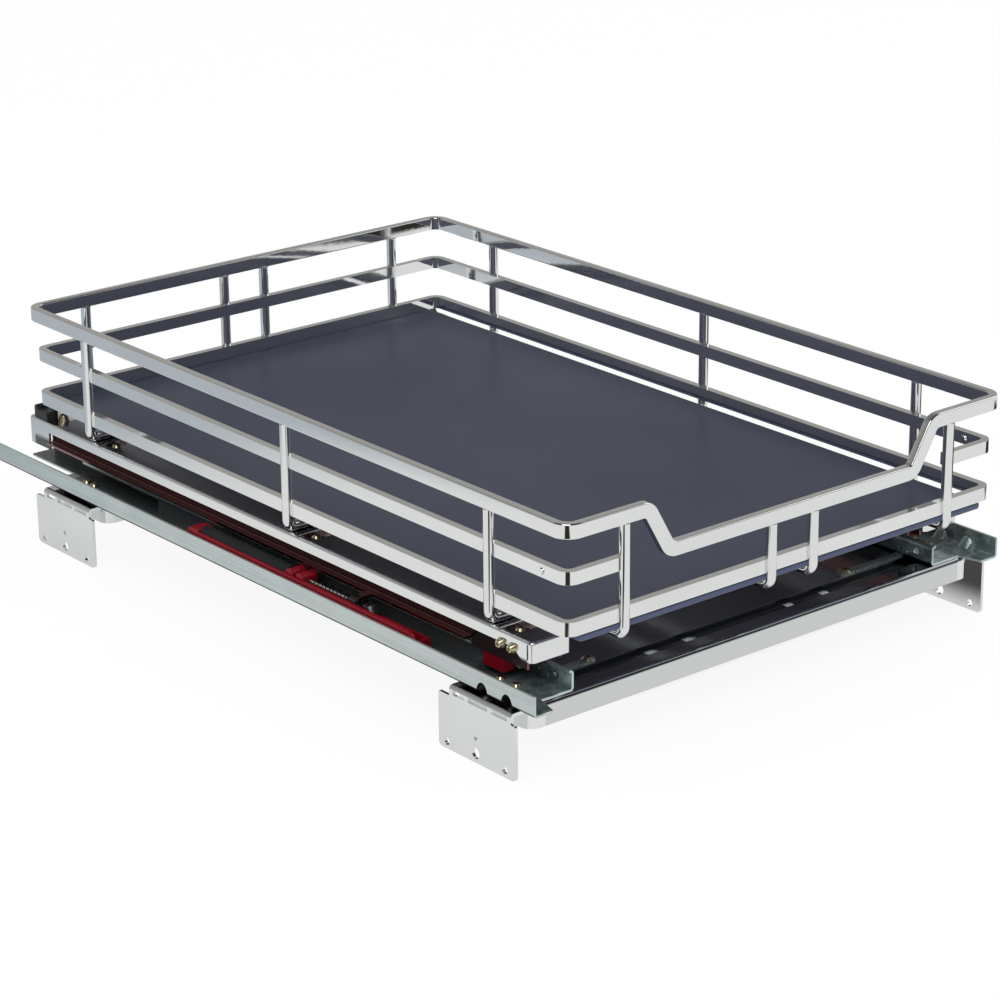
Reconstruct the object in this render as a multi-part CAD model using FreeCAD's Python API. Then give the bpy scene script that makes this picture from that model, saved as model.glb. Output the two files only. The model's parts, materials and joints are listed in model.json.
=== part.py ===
import FreeCAD, Part
import math
import os

os.makedirs("parts", exist_ok=True)
Vector = FreeCAD.Vector

# Pull-out storage basket for a base cabinet.
# A chrome basket with a solid tray rides on two full-extension slides with
# soft-close units. The slides stand on two crossmembers, and four brackets
# fix those to the cabinet's sides.
# Millimetres. X runs across, Y runs from the front to the back, Z is up.
# Lengths called "at" are measured back from the basket's front face.

# Basket
basket_width = 340.0
basket_depth = 534.0
top_ring_height = 9.0
top_ring_thickness = 5.2
top_ring_corner = 11.0
dip_depth = 27.3
dip_to_outer_rod = 15.4
dip_slope_run = 15.8
dip_bend_radius = 7.5
hoop_inset = 3.4
hoop_thickness = 4.8
hoop_corner = 8.5
middle_ring_height = 7.7
middle_ring_end_to_rod = 1.0
bottom_ring_height = 8.2
tray_to_bottom_ring = 0.3
bottom_to_middle_ring = 21.3
middle_to_top_ring = 19.3
weld_gap = 0.05
tray_thickness = 4.2
tray_side_inset = 9.6
tray_edge_round = 1.6
tray_corner = 3.0
rod_diameter = 6.6
rod_bend_radius = 4.8
outer_rod_inset = 44.0
inner_rod_half = 16.3
front_post_at = 67.5
middle_post_at = 254.0
rear_post_inset = 66.7
side_post_leg = 21.0
ring_rivet_at = 23.3
ring_rivet_shank = 1.5
ring_rivet_head = 2.0
ring_rivet_rise = 0.9

# Carrier rails under the basket
carrier_side_inset = 2.5
carrier_width = 28.5
carrier_sheet = 1.6
carrier_front_at = 31.0
carrier_past_basket = 7.0
carrier_corner = 3.0
carrier_wall_drop = 6.7
carrier_front_drop = 12.0
carrier_front_drop_length = 15.0
carrier_rear_drop = 17.9
carrier_rear_drop_length = 24.0
carrier_rear_return = 2.7
carrier_relief = 1.2
window_width = 14.0
window_length = 11.5
window_to_post = 14.4
side_screw_at = [47.2, 56.8]
side_screw_drop = 7.4
side_screw_head = 3.4
side_screw_rise = 2.8
rear_block_setback = 6.0
rear_block_length = 15.0
rear_block_height = 8.5
rear_block_step = 6.0
rear_block_ramp = 13.0
rear_block_slope_run = 2.0
rear_block_chamfer = 1.0
rear_block_width = 8.7
rear_block_side_inset = 1.0
rear_screw_head = 3.9
rear_screw_rise = 4.0
rear_screw_from_side = 11.0
rear_screw_to_block = 0.6

# Slides
floor_sheet = 1.5
rail_past_carrier = 15.0
rail_to_drawer = 0.3
rail_wall_height = 12.6
rail_front_at = 11.5
rail_past_basket = 23.0
rail_floor_setback = 15.0
rail_strip_width = 13.5
rail_lip = 3.2
rail_rear_setback = 5.0
rail_rear_slot = 64.0
rail_rear_floor_width = 18.0
dart_at = [34.5, 55.5]
dart_radius = 4.8
wall_hole_at = 39.4
wall_hole_radius = 2.25
wall_hole_rise = 6.2
wall_pilot_offsets = [(7.0, -2.4), (14.6, -1.4)]
wall_pilot_radius = 1.0
rib_start_at = 80.0
rib_length = 322.0
rib_width = 3.0
stop_tab_at = 77.0
stop_tab_height = 8.0
stop_tab_width = 6.0
stop_tab_past_buffer = 3.0
roller_diameter = 4.5
roller_play = 0.1
lower_roller_length = 7.6
upper_roller_length = 13.0
roller_pocket_play = 0.25
cage_web = 2.5
cage_play = 0.3
upper_cheek = 1.7
outer_cheek = 1.8
lower_cage_at = 160.0
lower_cage_length = 215.0
lower_roller_count = 8
upper_cage_at = 176.0
upper_cage_length = 214.0
upper_roller_count = 8
middle_at = 58.0
middle_rear_setback = 59.0
middle_height = 19.2
middle_sheet = 1.3
middle_foot_width = 9.9
middle_step = 8.7
drawer_sheet = 1.5
drawer_front_at = 37.0
drawer_rear_setback = 25.0
drawer_outer_play = 0.2
drawer_inner_play = 0.6
drawer_wall = 12.2
drawer_inner_wall = 14.6
drawer_front_wall = 16.0
drawer_lip_front_at = 85.0
drawer_lip_reach = 4.3
bend_inside = 0.8
upper_cheek_rise = 1.5
buffer_length = 16.4
buffer_height = 12.8

# Soft-close units
unit_at = 118.0
unit_length = 226.0
unit_wall = 1.4
unit_floor = 1.5
unit_outer_height = 13.2
unit_inner_height = 8.0
unit_front_wall = 2.4
unit_front_round = 7.0
unit_rear_slope_run = 6.0
unit_rear_slope_drop = 7.0
unit_width = 11.8
holder_height = 16.4
holder_hump = 7.0
holder_hump_round = 3.0
rear_stop_height = 14.4
damper_to_unit_floor = 6.1
damper_diameter = 8.8
damper_length = 88.0
damper_end_block = 15.0
damper_front_block = 17.0
damper_wall = 0.9
damper_rod_diameter = 2.5
piston_length = 5.0
rod_running_gap = 0.1
catch_travel = 40.0
catch_length = 24.0
catch_width = 6.4
catch_height = 15.0
catch_to_block = 40.0
catch_notch = 7.0
catch_notch_depth = 3.2
spring_wire = 0.7
spring_diameter = 6.4
spring_turns = 5
spring_end_bend = 1.1
spring_end_gap = 0.1
peg_width = 3.0
peg_length = 6.0
peg_clearance = 0.35

# Crossmembers, brackets and straps
cross_inset = 7.9
cross_width = 65.0
cross_height = 14.2
cross_sheet = 1.5
cross_corner = 8.0
cross_top_round = 2.9
front_cross_at = 25.0
rear_cross_setback = 115.0
groove_front = 12.2
groove_width = 11.0
groove_depth = 2.5
groove_slot_half = [40.0, 69.0]
groove_slot_length = 8.0
groove_slot_to_edge = 1.5
bracket_play = 1.2
bracket_sheet = 2.0
bracket_width = 66.0
bracket_height = 32.8
bracket_drop = 26.5
bracket_overhang = 1.3
bracket_corner = 3.0
bracket_neck_front = 3.5
bracket_neck_width = 53.0
bracket_window_rise = 1.0
bracket_web_at = [18.4, 38.1]
bracket_web = 3.2
tongue_width = 22.0
tongue_reach = 34.0
tongue_play = 0.15
mount_hole_radius = 2.25
mount_hole_spacing = 50.0
mount_hole_rise = 4.4
mount_hole_from_front = 8.8
key_hole_radius = 3.25
key_hole_rise = 5.7
pilot_hole_radius = 1.4
pilot_hole_rise = 14.6
middle_hole_from_front = 33.7
strap_screw_half = {"right": 93.9, "left": 108.8}
strap_past_screw = 4.4
strap_to_rail = 0.2
strap_width = 5.0
strap_sheet = 1.5
strap_at = 52.0
strap_tooth = 0.8
strap_pitch = 2.0
strap_screw_head = 4.0

# Screws
screw_head = 3.1
screw_head_height = 1.9
screw_shank = 1.5
screw_end = 2.5
screw_hole_gap = 0.05
rail_screw_inset = 19.0
rail_screw_from_front = [24.0, 37.4]
rail_screw_from_front_rear = [29.6, 38.3]

# Heights, from the brackets' lower edge up
rail_bottom = bracket_drop + cross_height
floor_top = rail_bottom + floor_sheet
rail_wall_top = rail_bottom + rail_wall_height
lower_roller_z = floor_top + roller_play + roller_diameter / 2
middle_bottom = floor_top + roller_diameter + 2 * roller_play
middle_top = middle_bottom + middle_height
upper_roller_z = middle_top + roller_play + roller_diameter / 2
drawer_under = middle_top + roller_diameter + 2 * roller_play
drawer_top = drawer_under + drawer_sheet
carrier_top = drawer_top + carrier_sheet
rod_z = carrier_top + rod_diameter / 2
tray_bottom = carrier_top + rod_diameter
tray_top = tray_bottom + tray_thickness
bottom_ring_z = tray_top + tray_to_bottom_ring
middle_ring_z = bottom_ring_z + bottom_ring_height + bottom_to_middle_ring
top_ring_z = middle_ring_z + middle_ring_height + middle_to_top_ring
basket_top = top_ring_z + top_ring_height

# Places across the width, from the middle plane out
basket_half = basket_width / 2
outer_rod_half = basket_half - outer_rod_inset
dip_top_half = outer_rod_half - dip_to_outer_rod
dip_bottom_half = dip_top_half - dip_slope_run
middle_ring_end_half = outer_rod_half - middle_ring_end_to_rod
carrier_outer_half = basket_half - carrier_side_inset
carrier_inner_half = carrier_outer_half - carrier_width
drawer_outer_half = carrier_outer_half - carrier_sheet - drawer_outer_play
drawer_inner_half = carrier_inner_half + carrier_sheet + drawer_inner_play
rail_outer_half = carrier_outer_half + rail_past_carrier
rail_inner_half = drawer_inner_half + rail_to_drawer
rail_screw_half = rail_outer_half - rail_screw_inset
cross_half = rail_outer_half - cross_inset
bracket_outer_half = rail_outer_half + bracket_play + bracket_sheet

# Places along the depth, with the whole object centred on the origin
rail_length = basket_depth + rail_past_basket - rail_front_at
overall_depth = rail_front_at + rail_length
front_y = -overall_depth / 2
side_post_at = [front_post_at, middle_post_at, basket_depth - rear_post_inset]
carrier_length = basket_depth + carrier_past_basket - carrier_front_at
drawer_length = carrier_front_at + carrier_length - drawer_rear_setback - drawer_front_at
middle_length = overall_depth - middle_rear_setback - middle_at
rear_cross_at = overall_depth - rear_cross_setback
rod_radius = rod_diameter / 2
far = 1000.0


def along(distance):
    return front_y + distance


def box(x0, x1, y0, y1, z0, z1):
    return Part.makeBox(x1 - x0, y1 - y0, z1 - z0, Vector(x0, y0, z0))


def cylinder(radius, start, end):
    axis = end.sub(start)
    return Part.makeCylinder(radius, axis.Length, start, axis)


def across(y):
    return lambda u, v: Vector(u, y, v)


def flat(z):
    return lambda u, v: Vector(u, v, z)


def upright(x):
    return lambda u, v: Vector(x, u, v)


def turn_at(before, corner, after):
    ax = corner[0] - before[0]
    ay = corner[1] - before[1]
    bx = after[0] - corner[0]
    by = after[1] - corner[1]
    return math.atan2(ax * by - ay * bx, ax * bx + ay * by)


def shifted(points, distance, closed=False):
    # Parallel copy of a line of points, to the right of its direction.
    count = len(points)
    result = []
    for i in range(count):
        before = points[i - 1] if i > 0 or closed else None
        after = points[(i + 1) % count] if i < count - 1 or closed else None
        normals = []
        for start, end in ((before, points[i]), (points[i], after)):
            if start is None or end is None:
                continue
            dx = end[0] - start[0]
            dy = end[1] - start[1]
            length = math.hypot(dx, dy)
            normals.append((dy / length, -dx / length))
        if len(normals) == 1:
            nx, ny = normals[0]
            scale = 1.0
        else:
            nx = normals[0][0] + normals[1][0]
            ny = normals[0][1] + normals[1][1]
            scale = 2.0 / (nx * nx + ny * ny)
        result.append((points[i][0] + nx * scale * distance,
                       points[i][1] + ny * scale * distance))
    return result


def rounded_edges(points, radii, place, closed=False):
    # Straight runs joined by tangent arcs, with one radius for each corner.
    count = len(points)
    starts = []
    ends = []
    arcs = []
    for i in range(count):
        point = points[i]
        inner = closed or 0 < i < count - 1
        radius = radii[i] if inner else 0.0
        if not inner or radius < 0.02:
            starts.append(point)
            ends.append(point)
            arcs.append(None)
            continue
        before = points[i - 1]
        after = points[(i + 1) % count]
        angle = turn_at(before, point, after)
        reach = radius * math.tan(abs(angle) / 2)
        back = math.hypot(point[0] - before[0], point[1] - before[1])
        ahead = math.hypot(after[0] - point[0], after[1] - point[1])
        ux = (point[0] - before[0]) / back
        uy = (point[1] - before[1]) / back
        wx = (after[0] - point[0]) / ahead
        wy = (after[1] - point[1]) / ahead
        first = (point[0] - ux * reach, point[1] - uy * reach)
        last = (point[0] + wx * reach, point[1] + wy * reach)
        bx = wx - ux
        by = wy - uy
        size = math.hypot(bx, by)
        depth = radius / math.cos(angle / 2) - radius
        middle = (point[0] + bx / size * depth, point[1] + by / size * depth)
        starts.append(first)
        ends.append(last)
        arcs.append(middle)
    edges = []
    for i in range(count):
        if arcs[i] is not None:
            edges.append(Part.Arc(place(*starts[i]), place(*arcs[i]),
                                  place(*ends[i])).toShape())
        if i == count - 1 and not closed:
            break
        following = (i + 1) % count
        a = place(*ends[i])
        b = place(*starts[following])
        if a.sub(b).Length > 1e-6:
            edges.append(Part.LineSegment(a, b).toShape())
    return edges


def loop(points, radii, place):
    if not isinstance(radii, (list, tuple)):
        radii = [radii] * len(points)
    wire = Part.Wire(rounded_edges(points, radii, place, True))
    return Part.Face(wire)


def sheet(points, thickness, inside, place):
    # Section of a bent sheet. The points follow one face, and the sheet
    # lies to the right of them.
    other = shifted(points, thickness)
    near = []
    away = []
    for i in range(len(points)):
        if 0 < i < len(points) - 1:
            angle = turn_at(points[i - 1], points[i], points[i + 1])
        else:
            angle = 0.0
        near.append(inside + thickness if angle < 0 else inside)
        away.append(inside if angle < 0 else inside + thickness)
    first = rounded_edges(points, near, place)
    second = rounded_edges(other, away, place)
    start = Part.LineSegment(place(*points[0]), place(*other[0])).toShape()
    end = Part.LineSegment(place(*points[-1]), place(*other[-1])).toShape()
    wire = Part.Wire(Part.__sortEdges__(first + second + [start, end]))
    return Part.Face(wire)


def run_back(face, length):
    return face.extrude(Vector(0, length, 0))


def plate(x0, x1, y0, y1, z0, z1, corner):
    points = [(x0, y0), (x1, y0), (x1, y1), (x0, y1)]
    return loop(points, corner, flat(z0)).extrude(Vector(0, 0, z1 - z0))


def hoop(inset, thickness, corner, z, height):
    half = basket_half - inset
    y0 = along(inset)
    y1 = along(basket_depth - inset)
    outer = plate(-half, half, y0, y1, z, z + height, corner)
    hole = plate(-half + thickness, half - thickness, y0 + thickness,
                 y1 - thickness, z, z + height, max(corner - thickness, 0.5))
    return outer.cut(hole)


def rod(points, radius, bend, place):
    path = Part.Wire(rounded_edges(points, [bend] * len(points), place))
    start = place(*points[0])
    direction = place(*points[1]).sub(start)
    ring = Part.Wire(Part.Circle(start, direction, radius).toShape())
    return path.makePipeShell([ring], True, False)


def mirrored(shape):
    return shape.mirror(Vector(0, 0, 0), Vector(1, 0, 0))


def fused(shapes):
    result = shapes[0]
    for shape in shapes[1:]:
        result = result.fuse(shape)
    return result.removeSplitter()


def cut_all(shape, tools):
    for tool in tools:
        shape = shape.cut(tool)
    return shape


def save(name, shapes):
    if not isinstance(shapes, list):
        shapes = [shapes]
    solids = []
    for shape in shapes:
        if not shape.isValid():
            raise ValueError(name + " is not valid")
        solids.extend(shape.Solids)
    shape = solids[0] if len(solids) == 1 else Part.makeCompound(solids)
    shape.exportStep("parts/" + name + ".step")
    print(name, len(solids), round(shape.Volume, 2))


def save_pair(name, shapes):
    if not isinstance(shapes, list):
        shapes = [shapes]
    save(name + "_right", shapes)
    save(name + "_left", [mirrored(shape) for shape in shapes])


def domed_screw(seat, direction, length, head=None, rise=None):
    # Domed head standing on the seat, shank going the other way.
    head = head or screw_head
    rise = rise or screw_head_height
    outline = [(0, -length), (screw_shank, -length), (screw_shank, 0),
               (head, 0), (head * 0.6, rise), (0, rise)]
    points = [Vector(u, 0, v) for u, v in outline]
    face = Part.Face(Part.makePolygon(points + [points[0]]))
    body = face.revolve(Vector(0, 0, 0), Vector(0, 0, 1), 360)
    turn = FreeCAD.Rotation(Vector(0, 0, 1), direction)
    body.Placement = FreeCAD.Placement(seat, turn)
    return body


# Basket rings
def dipped_line():
    high = top_ring_z + top_ring_height / 2
    low = high - dip_depth
    return [(-far, high), (-dip_top_half, high), (-dip_bottom_half, low),
            (dip_bottom_half, low), (dip_top_half, high), (far, high)]


def dipped_band(depth):
    half = top_ring_height / 2
    line = dipped_line()
    upper = shifted(line, -half)
    tight = dip_bend_radius - half
    wide = dip_bend_radius + half
    lower = shifted(line, half)
    first = rounded_edges(upper, [0, wide, tight, tight, wide, 0], across(along(0)))
    second = rounded_edges(lower, [0, tight, wide, wide, tight, 0], across(along(0)))
    ends = [Part.LineSegment(across(along(0))(*upper[k]),
                             across(along(0))(*lower[k])).toShape() for k in (0, -1)]
    wire = Part.Wire(Part.__sortEdges__(first + second + ends))
    return run_back(Part.Face(wire), depth)


drop = dip_depth + top_ring_height
tall = hoop(0, top_ring_thickness, top_ring_corner, basket_top - drop, drop)
split = top_ring_corner
front_band = tall.common(dipped_band(split))
rest = tall.common(box(-far, far, along(split), along(basket_depth) + 1,
                       top_ring_z, basket_top))
top_ring = fused([front_band, rest])

rod_in = basket_half - rod_radius
post_line = rod_in


def long_rod(x, front_top):
    line = [(along(rod_radius), front_top), (along(rod_radius), rod_z),
            (along(basket_depth - rod_radius), rod_z),
            (along(basket_depth - rod_radius), top_ring_z)]
    return rod(line, rod_radius, rod_bend_radius, upright(x))


def side_post(y):
    line = [(post_line, top_ring_z), (post_line, rod_z),
            (post_line - side_post_leg, rod_z)]
    return rod(line, rod_radius, rod_bend_radius, across(y))


def saddle(x, y, low, high):
    return Part.makeCylinder(rod_radius + weld_gap, high - low, Vector(x, y, low))


saddles = []
for x in (outer_rod_half, inner_rod_half):
    for side in (-1, 1):
        for y in (along(rod_radius), along(basket_depth - rod_radius)):
            saddles.append(saddle(side * x, y, tray_bottom, top_ring_z))
for y in side_post_at:
    for side in (-1, 1):
        saddles.append(saddle(side * post_line, along(y), tray_bottom, top_ring_z))

middle_ring = hoop(hoop_inset, hoop_thickness, hoop_corner, middle_ring_z,
                   middle_ring_height)
middle_ring = middle_ring.cut(box(-middle_ring_end_half, middle_ring_end_half,
                                  along(0), along(basket_depth / 2),
                                  middle_ring_z - 1, top_ring_z))
bottom_ring = hoop(hoop_inset, hoop_thickness, hoop_corner, bottom_ring_z,
                   bottom_ring_height)
middle_ring = cut_all(middle_ring, saddles)
bottom_ring = cut_all(bottom_ring, saddles)

rivets = []
rivet_z = middle_ring_z + middle_ring_height / 2
for side in (-1, 1):
    outer_face = side * (basket_half - hoop_inset)
    inner_face = side * (basket_half - hoop_inset - hoop_thickness)
    here = along(ring_rivet_at)
    shank = cylinder(ring_rivet_shank, Vector(outer_face, here, rivet_z),
                     Vector(inner_face, here, rivet_z))
    middle_ring = middle_ring.cut(shank)
    heads = []
    for start, way in ((outer_face, side), (inner_face, -side)):
        dome = Part.makeCone(ring_rivet_head, ring_rivet_head * 0.6, ring_rivet_rise,
                             Vector(start, here, rivet_z), Vector(way, 0, 0))
        heads.append(dome)
    rivets.append(fused([shank] + heads))

tray_half = basket_half - hoop_inset - tray_side_inset
tray = plate(-tray_half, tray_half, along(hoop_inset), along(basket_depth - hoop_inset),
             tray_bottom, tray_top, tray_corner)
tray_rims = [e for e in tray.Edges if e.BoundBox.ZLength < 1e-6]
tray = tray.makeFillet(tray_edge_round, tray_rims)


def rod_notch(x, y, inward):
    # Round-ended notch that clears a rod and its bend under the bottom ring.
    radius = rod_radius + weld_gap
    reach = rod_bend_radius - rod_radius + weld_gap
    low = tray_bottom - weld_gap
    high = tray_top + weld_gap
    end = Vector(x, y, low).add(inward * reach)
    outer = Vector(x, y, low).sub(inward * (2 * radius))
    aside = Vector(abs(inward.y), abs(inward.x), 0) * radius
    slot = box(min(end.x, outer.x) - aside.x, max(end.x, outer.x) + aside.x,
               min(end.y, outer.y) - aside.y, max(end.y, outer.y) + aside.y, low, high)
    return slot.fuse(Part.makeCylinder(radius, high - low, end))


for side in (-1, 1):
    for x in (outer_rod_half, inner_rod_half):
        tray = tray.cut(rod_notch(side * x, along(rod_radius), Vector(0, 1, 0)))
        tray = tray.cut(rod_notch(side * x, along(basket_depth - rod_radius),
                                  Vector(0, -1, 0)))

save("top_ring", top_ring)
save("middle_ring", middle_ring)
save("bottom_ring", bottom_ring)
save("ring_rivets", rivets)
save("tray_panel", tray)
save_pair("long_rod_outer", long_rod(outer_rod_half, top_ring_z))
save_pair("long_rod_inner", long_rod(inner_rod_half, top_ring_z - dip_depth))
for name, y in zip(("front", "middle", "rear"), side_post_at):
    save_pair("side_post_" + name, side_post(along(y)))


# Carrier rail, right side
carrier_rear_at = carrier_front_at + carrier_length
front_low = carrier_top - carrier_front_drop
wall_low = carrier_top - carrier_wall_drop
rear_low = carrier_top - carrier_rear_drop


def carrier():
    y0 = along(carrier_front_at)
    y1 = along(carrier_rear_at)
    outer = plate(carrier_inner_half, carrier_outer_half, y0, y1, rear_low,
                  carrier_top, carrier_corner)
    rim = [e for e in outer.Edges if e.BoundBox.ZMin > carrier_top - 1e-6]
    outer = outer.makeFillet(carrier_sheet, rim)
    inner = plate(carrier_inner_half + carrier_sheet, carrier_outer_half - carrier_sheet,
                  y0 + carrier_sheet, y1 - carrier_sheet, rear_low,
                  carrier_top - carrier_sheet, carrier_corner - carrier_sheet)
    shell = outer.cut(inner)
    ramp = y0 + carrier_front_drop_length
    step = y1 - carrier_rear_drop_length
    line = [(y0 - 1, front_low), (ramp - 6, front_low), (ramp, wall_low),
            (step, wall_low), (step, rear_low - 1), (y0 - 1, rear_low - 1)]
    under = loop(line, [0, 3.0, 3.0, 0, 0, 0], upright(carrier_inner_half - 1))
    under = under.extrude(Vector(carrier_outer_half - carrier_inner_half + 2, 0, 0))
    shell = shell.cut(under)
    # The rear end stays open where the slide passes.
    shell = shell.cut(box(carrier_inner_half - 1, carrier_outer_half - carrier_rear_return,
                          step, y1 + 1, rear_low - 1, drawer_top))
    # Relief slot at the front corner of the fold.
    shell = shell.cut(box(carrier_outer_half - carrier_sheet - 0.5, carrier_outer_half + 1,
                          y0 + carrier_corner, y0 + carrier_corner + carrier_relief,
                          rear_low - 1, drawer_top))
    return shell


carrier_right = carrier()
window_mid = (carrier_inner_half + carrier_outer_half) / 2 + 3.5
seat_screws = []
for y in side_post_at:
    mid = along(y - window_to_post)
    carrier_right = carrier_right.cut(
        plate(window_mid - window_width / 2, window_mid + window_width / 2,
              mid - window_length / 2, mid + window_length / 2,
              drawer_top - 0.5, carrier_top + 1, 1.0))
    seat_screws.append(domed_screw(Vector(window_mid, mid, drawer_top), Vector(0, 0, 1),
                                   drawer_sheet))

side_screws = []
side_screw_z = carrier_top - side_screw_drop
for y in side_screw_at:
    seat = Vector(carrier_outer_half, along(y), side_screw_z)
    side_screws.append(domed_screw(seat, Vector(1, 0, 0),
                                   carrier_outer_half - drawer_outer_half + drawer_sheet,
                                   side_screw_head, side_screw_rise))

block_y1 = along(carrier_rear_at - rear_block_setback)
block_y0 = block_y1 - rear_block_length
block_x1 = carrier_outer_half - rear_block_side_inset
block_x0 = block_x1 - rear_block_width
block_step_z = carrier_top + rear_block_step
block_high_z = carrier_top + rear_block_height
# The block is low where it reaches under the tray.
block_line = [(block_y0, carrier_top), (block_y1, carrier_top),
              (block_y1, block_high_z - rear_block_chamfer),
              (block_y1 - rear_block_chamfer, block_high_z),
              (block_y0 + rear_block_ramp, block_high_z),
              (block_y0 + rear_block_ramp - rear_block_slope_run, block_step_z),
              (block_y0, block_step_z)]
rear_block = loop(block_line, [0, 0, 0.4, 0.4, 0.4, 0.4, 1.0], upright(block_x0))
rear_block = rear_block.extrude(Vector(rear_block_width, 0, 0))
block_screw_y = block_y0 - rear_screw_head - rear_screw_to_block
block_screw_x = carrier_outer_half - rear_screw_from_side
tail_screw = domed_screw(Vector(block_screw_x, block_screw_y, carrier_top), Vector(0, 0, 1),
                         carrier_sheet + drawer_sheet, rear_screw_head, rear_screw_rise)
tail_hole = Part.makeCylinder(screw_shank + screw_hole_gap, carrier_sheet + 2,
                              Vector(block_screw_x, block_screw_y, carrier_top - carrier_sheet - 1))
carrier_right = carrier_right.cut(tail_hole)


# Drawer member, right side
drawer_low = drawer_top - drawer_wall
drawer_inner_low = drawer_top - drawer_inner_wall
drawer_front_low = drawer_top - drawer_front_wall
drawer_y0 = along(drawer_front_at)
drawer_y1 = along(drawer_front_at + drawer_length)


def drawer_member():
    # The lip is bent out only behind the buffer. In front the wall hangs straight down.
    low_outer = drawer_low + drawer_sheet
    lip_y = along(drawer_lip_front_at)
    top_line = [(drawer_inner_half, drawer_inner_low), (drawer_inner_half, drawer_top),
                (drawer_outer_half, drawer_top)]
    lipped = top_line + [(drawer_outer_half, low_outer),
                         (drawer_outer_half + drawer_lip_reach, low_outer)]
    straight = top_line + [(drawer_outer_half, drawer_front_low)]
    rear = run_back(sheet(lipped, drawer_sheet, bend_inside, across(lip_y)),
                    drawer_y1 - lip_y)
    front = run_back(sheet(straight, drawer_sheet, bend_inside, across(drawer_y0)),
                     lip_y - drawer_y0)
    return fused([front, rear])


def hole_x(y, z, x0, x1, radius):
    return cylinder(radius, Vector(x0, y, z), Vector(x1, y, z))


drawer_right = drawer_member()
for y in side_screw_at:
    hole = hole_x(along(y), side_screw_z, drawer_outer_half - drawer_sheet - 1,
                  carrier_outer_half + 1, screw_shank + screw_hole_gap)
    carrier_right = carrier_right.cut(hole)
    drawer_right = drawer_right.cut(hole)
for y in side_post_at:
    mid = along(y - window_to_post)
    hole = Part.makeCylinder(screw_shank + screw_hole_gap, drawer_sheet + 2,
                             Vector(window_mid, mid, drawer_top - drawer_sheet - 1))
    drawer_right = drawer_right.cut(hole)
hole = Part.makeCylinder(screw_shank + screw_hole_gap, drawer_sheet + 2,
                         Vector(block_screw_x, block_screw_y, drawer_top - drawer_sheet - 1))
drawer_right = drawer_right.cut(hole)

# The peg that works the soft-close catch is a tab bent down from the lip.
unit_floor_top = floor_top + unit_floor
unit_outer_half = rail_outer_half - floor_sheet - bend_inside
unit_inner_half = unit_outer_half - unit_width
unit_mid = (unit_inner_half + unit_outer_half) / 2
damper_z = unit_floor_top + damper_to_unit_floor + damper_diameter / 2
catch_top = floor_top + catch_height
unit_rear_at = unit_at + unit_length
damper_rear_at = unit_rear_at - damper_end_block
damper_front_at = damper_rear_at - damper_length
block_front_at = damper_front_at - damper_front_block
catch_rear_at = block_front_at - catch_to_block
catch_front_at = catch_rear_at - catch_length
catch_mid_at = catch_rear_at - catch_length / 2
peg_low = catch_top + peg_clearance
peg_x0 = drawer_outer_half + drawer_lip_reach - 1.0
peg = box(peg_x0, unit_mid + peg_width / 2, along(catch_mid_at - peg_length / 2),
          along(catch_mid_at + peg_length / 2), drawer_low, drawer_low + drawer_sheet)
peg_drop = box(unit_mid - peg_width / 2, unit_mid + peg_width / 2,
               along(catch_mid_at - peg_length / 2), along(catch_mid_at + peg_length / 2),
               peg_low, drawer_low + drawer_sheet)
drawer_right = fused([drawer_right, peg, peg_drop])

save_pair("carrier", carrier_right)
save_pair("rear_block", rear_block)
save_pair("carrier_screws", side_screws + seat_screws + [tail_screw])
save_pair("drawer_member", drawer_right)

# Cages, rollers and middle member, right side
rail_inner_face = rail_inner_half + floor_sheet
drawer_inner_face = drawer_inner_half + drawer_sheet
middle_inner = drawer_inner_face + 2 * cage_play + upper_cheek
middle_foot = middle_inner + middle_foot_width
middle_head = drawer_outer_half - drawer_sheet - 2 * cage_play - upper_cheek
head_bottom = middle_bottom + middle_step
rib_inner = middle_foot + 2 * cage_play + outer_cheek
rib_top = head_bottom - roller_play - 1.2

outline = [(middle_inner, middle_bottom), (middle_foot, middle_bottom),
           (middle_foot, head_bottom), (middle_head, head_bottom),
           (middle_head, middle_top), (middle_inner, middle_top)]
hollow = shifted(outline, -middle_sheet, True)
tight = bend_inside
wide = bend_inside + middle_sheet
section = loop(outline, [wide, wide, tight, wide, wide, wide], across(along(middle_at)))
bore = loop(hollow, [tight, tight, wide, tight, tight, tight], across(along(middle_at)))
middle_member = run_back(section.cut(bore), middle_length)

# Red buffer clipped to the middle member's front end. It meets the stop tab
# on the rail's floor when the basket is shut.
cheek_low = drawer_inner_low + upper_cheek_rise
buffer_rear_at = stop_tab_at - cage_play
buffer_y0 = along(buffer_rear_at - buffer_length)
buffer_top = cheek_low - cage_play
buffer_low = buffer_top - buffer_height
buffer_x1 = drawer_outer_half - drawer_sheet - cage_play
buffer_points = [(middle_foot, buffer_low), (buffer_x1, buffer_low),
                 (buffer_x1, buffer_top), (middle_foot, buffer_top)]
buffer = loop(buffer_points, [0.4, 1.2, 0.4, 0], across(buffer_y0))
middle_there = loop(outline, [wide, wide, tight, wide, wide, wide], across(buffer_y0))
buffer = run_back(buffer, buffer_length).cut(run_back(middle_there, buffer_length))


def cage(x0, x1, wall_inner, wall_outer, z_mid, reach, at, length):
    # A flat strip between two cheeks; reach is how far each cheek goes up or down.
    y0 = along(at)
    y1 = along(at + length)
    z0 = z_mid - cage_web / 2
    z1 = z_mid + cage_web / 2
    strip = box(x0, x1, y0, y1, z0, z1)
    cheeks = []
    for a, b, end in ((x0, x0 + wall_inner, reach[0]), (x1 - wall_outer, x1, reach[1])):
        cheeks.append(box(a, b, y0, y1, min(z0, end), max(z1, end)))
    return fused([strip] + cheeks)


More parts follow.
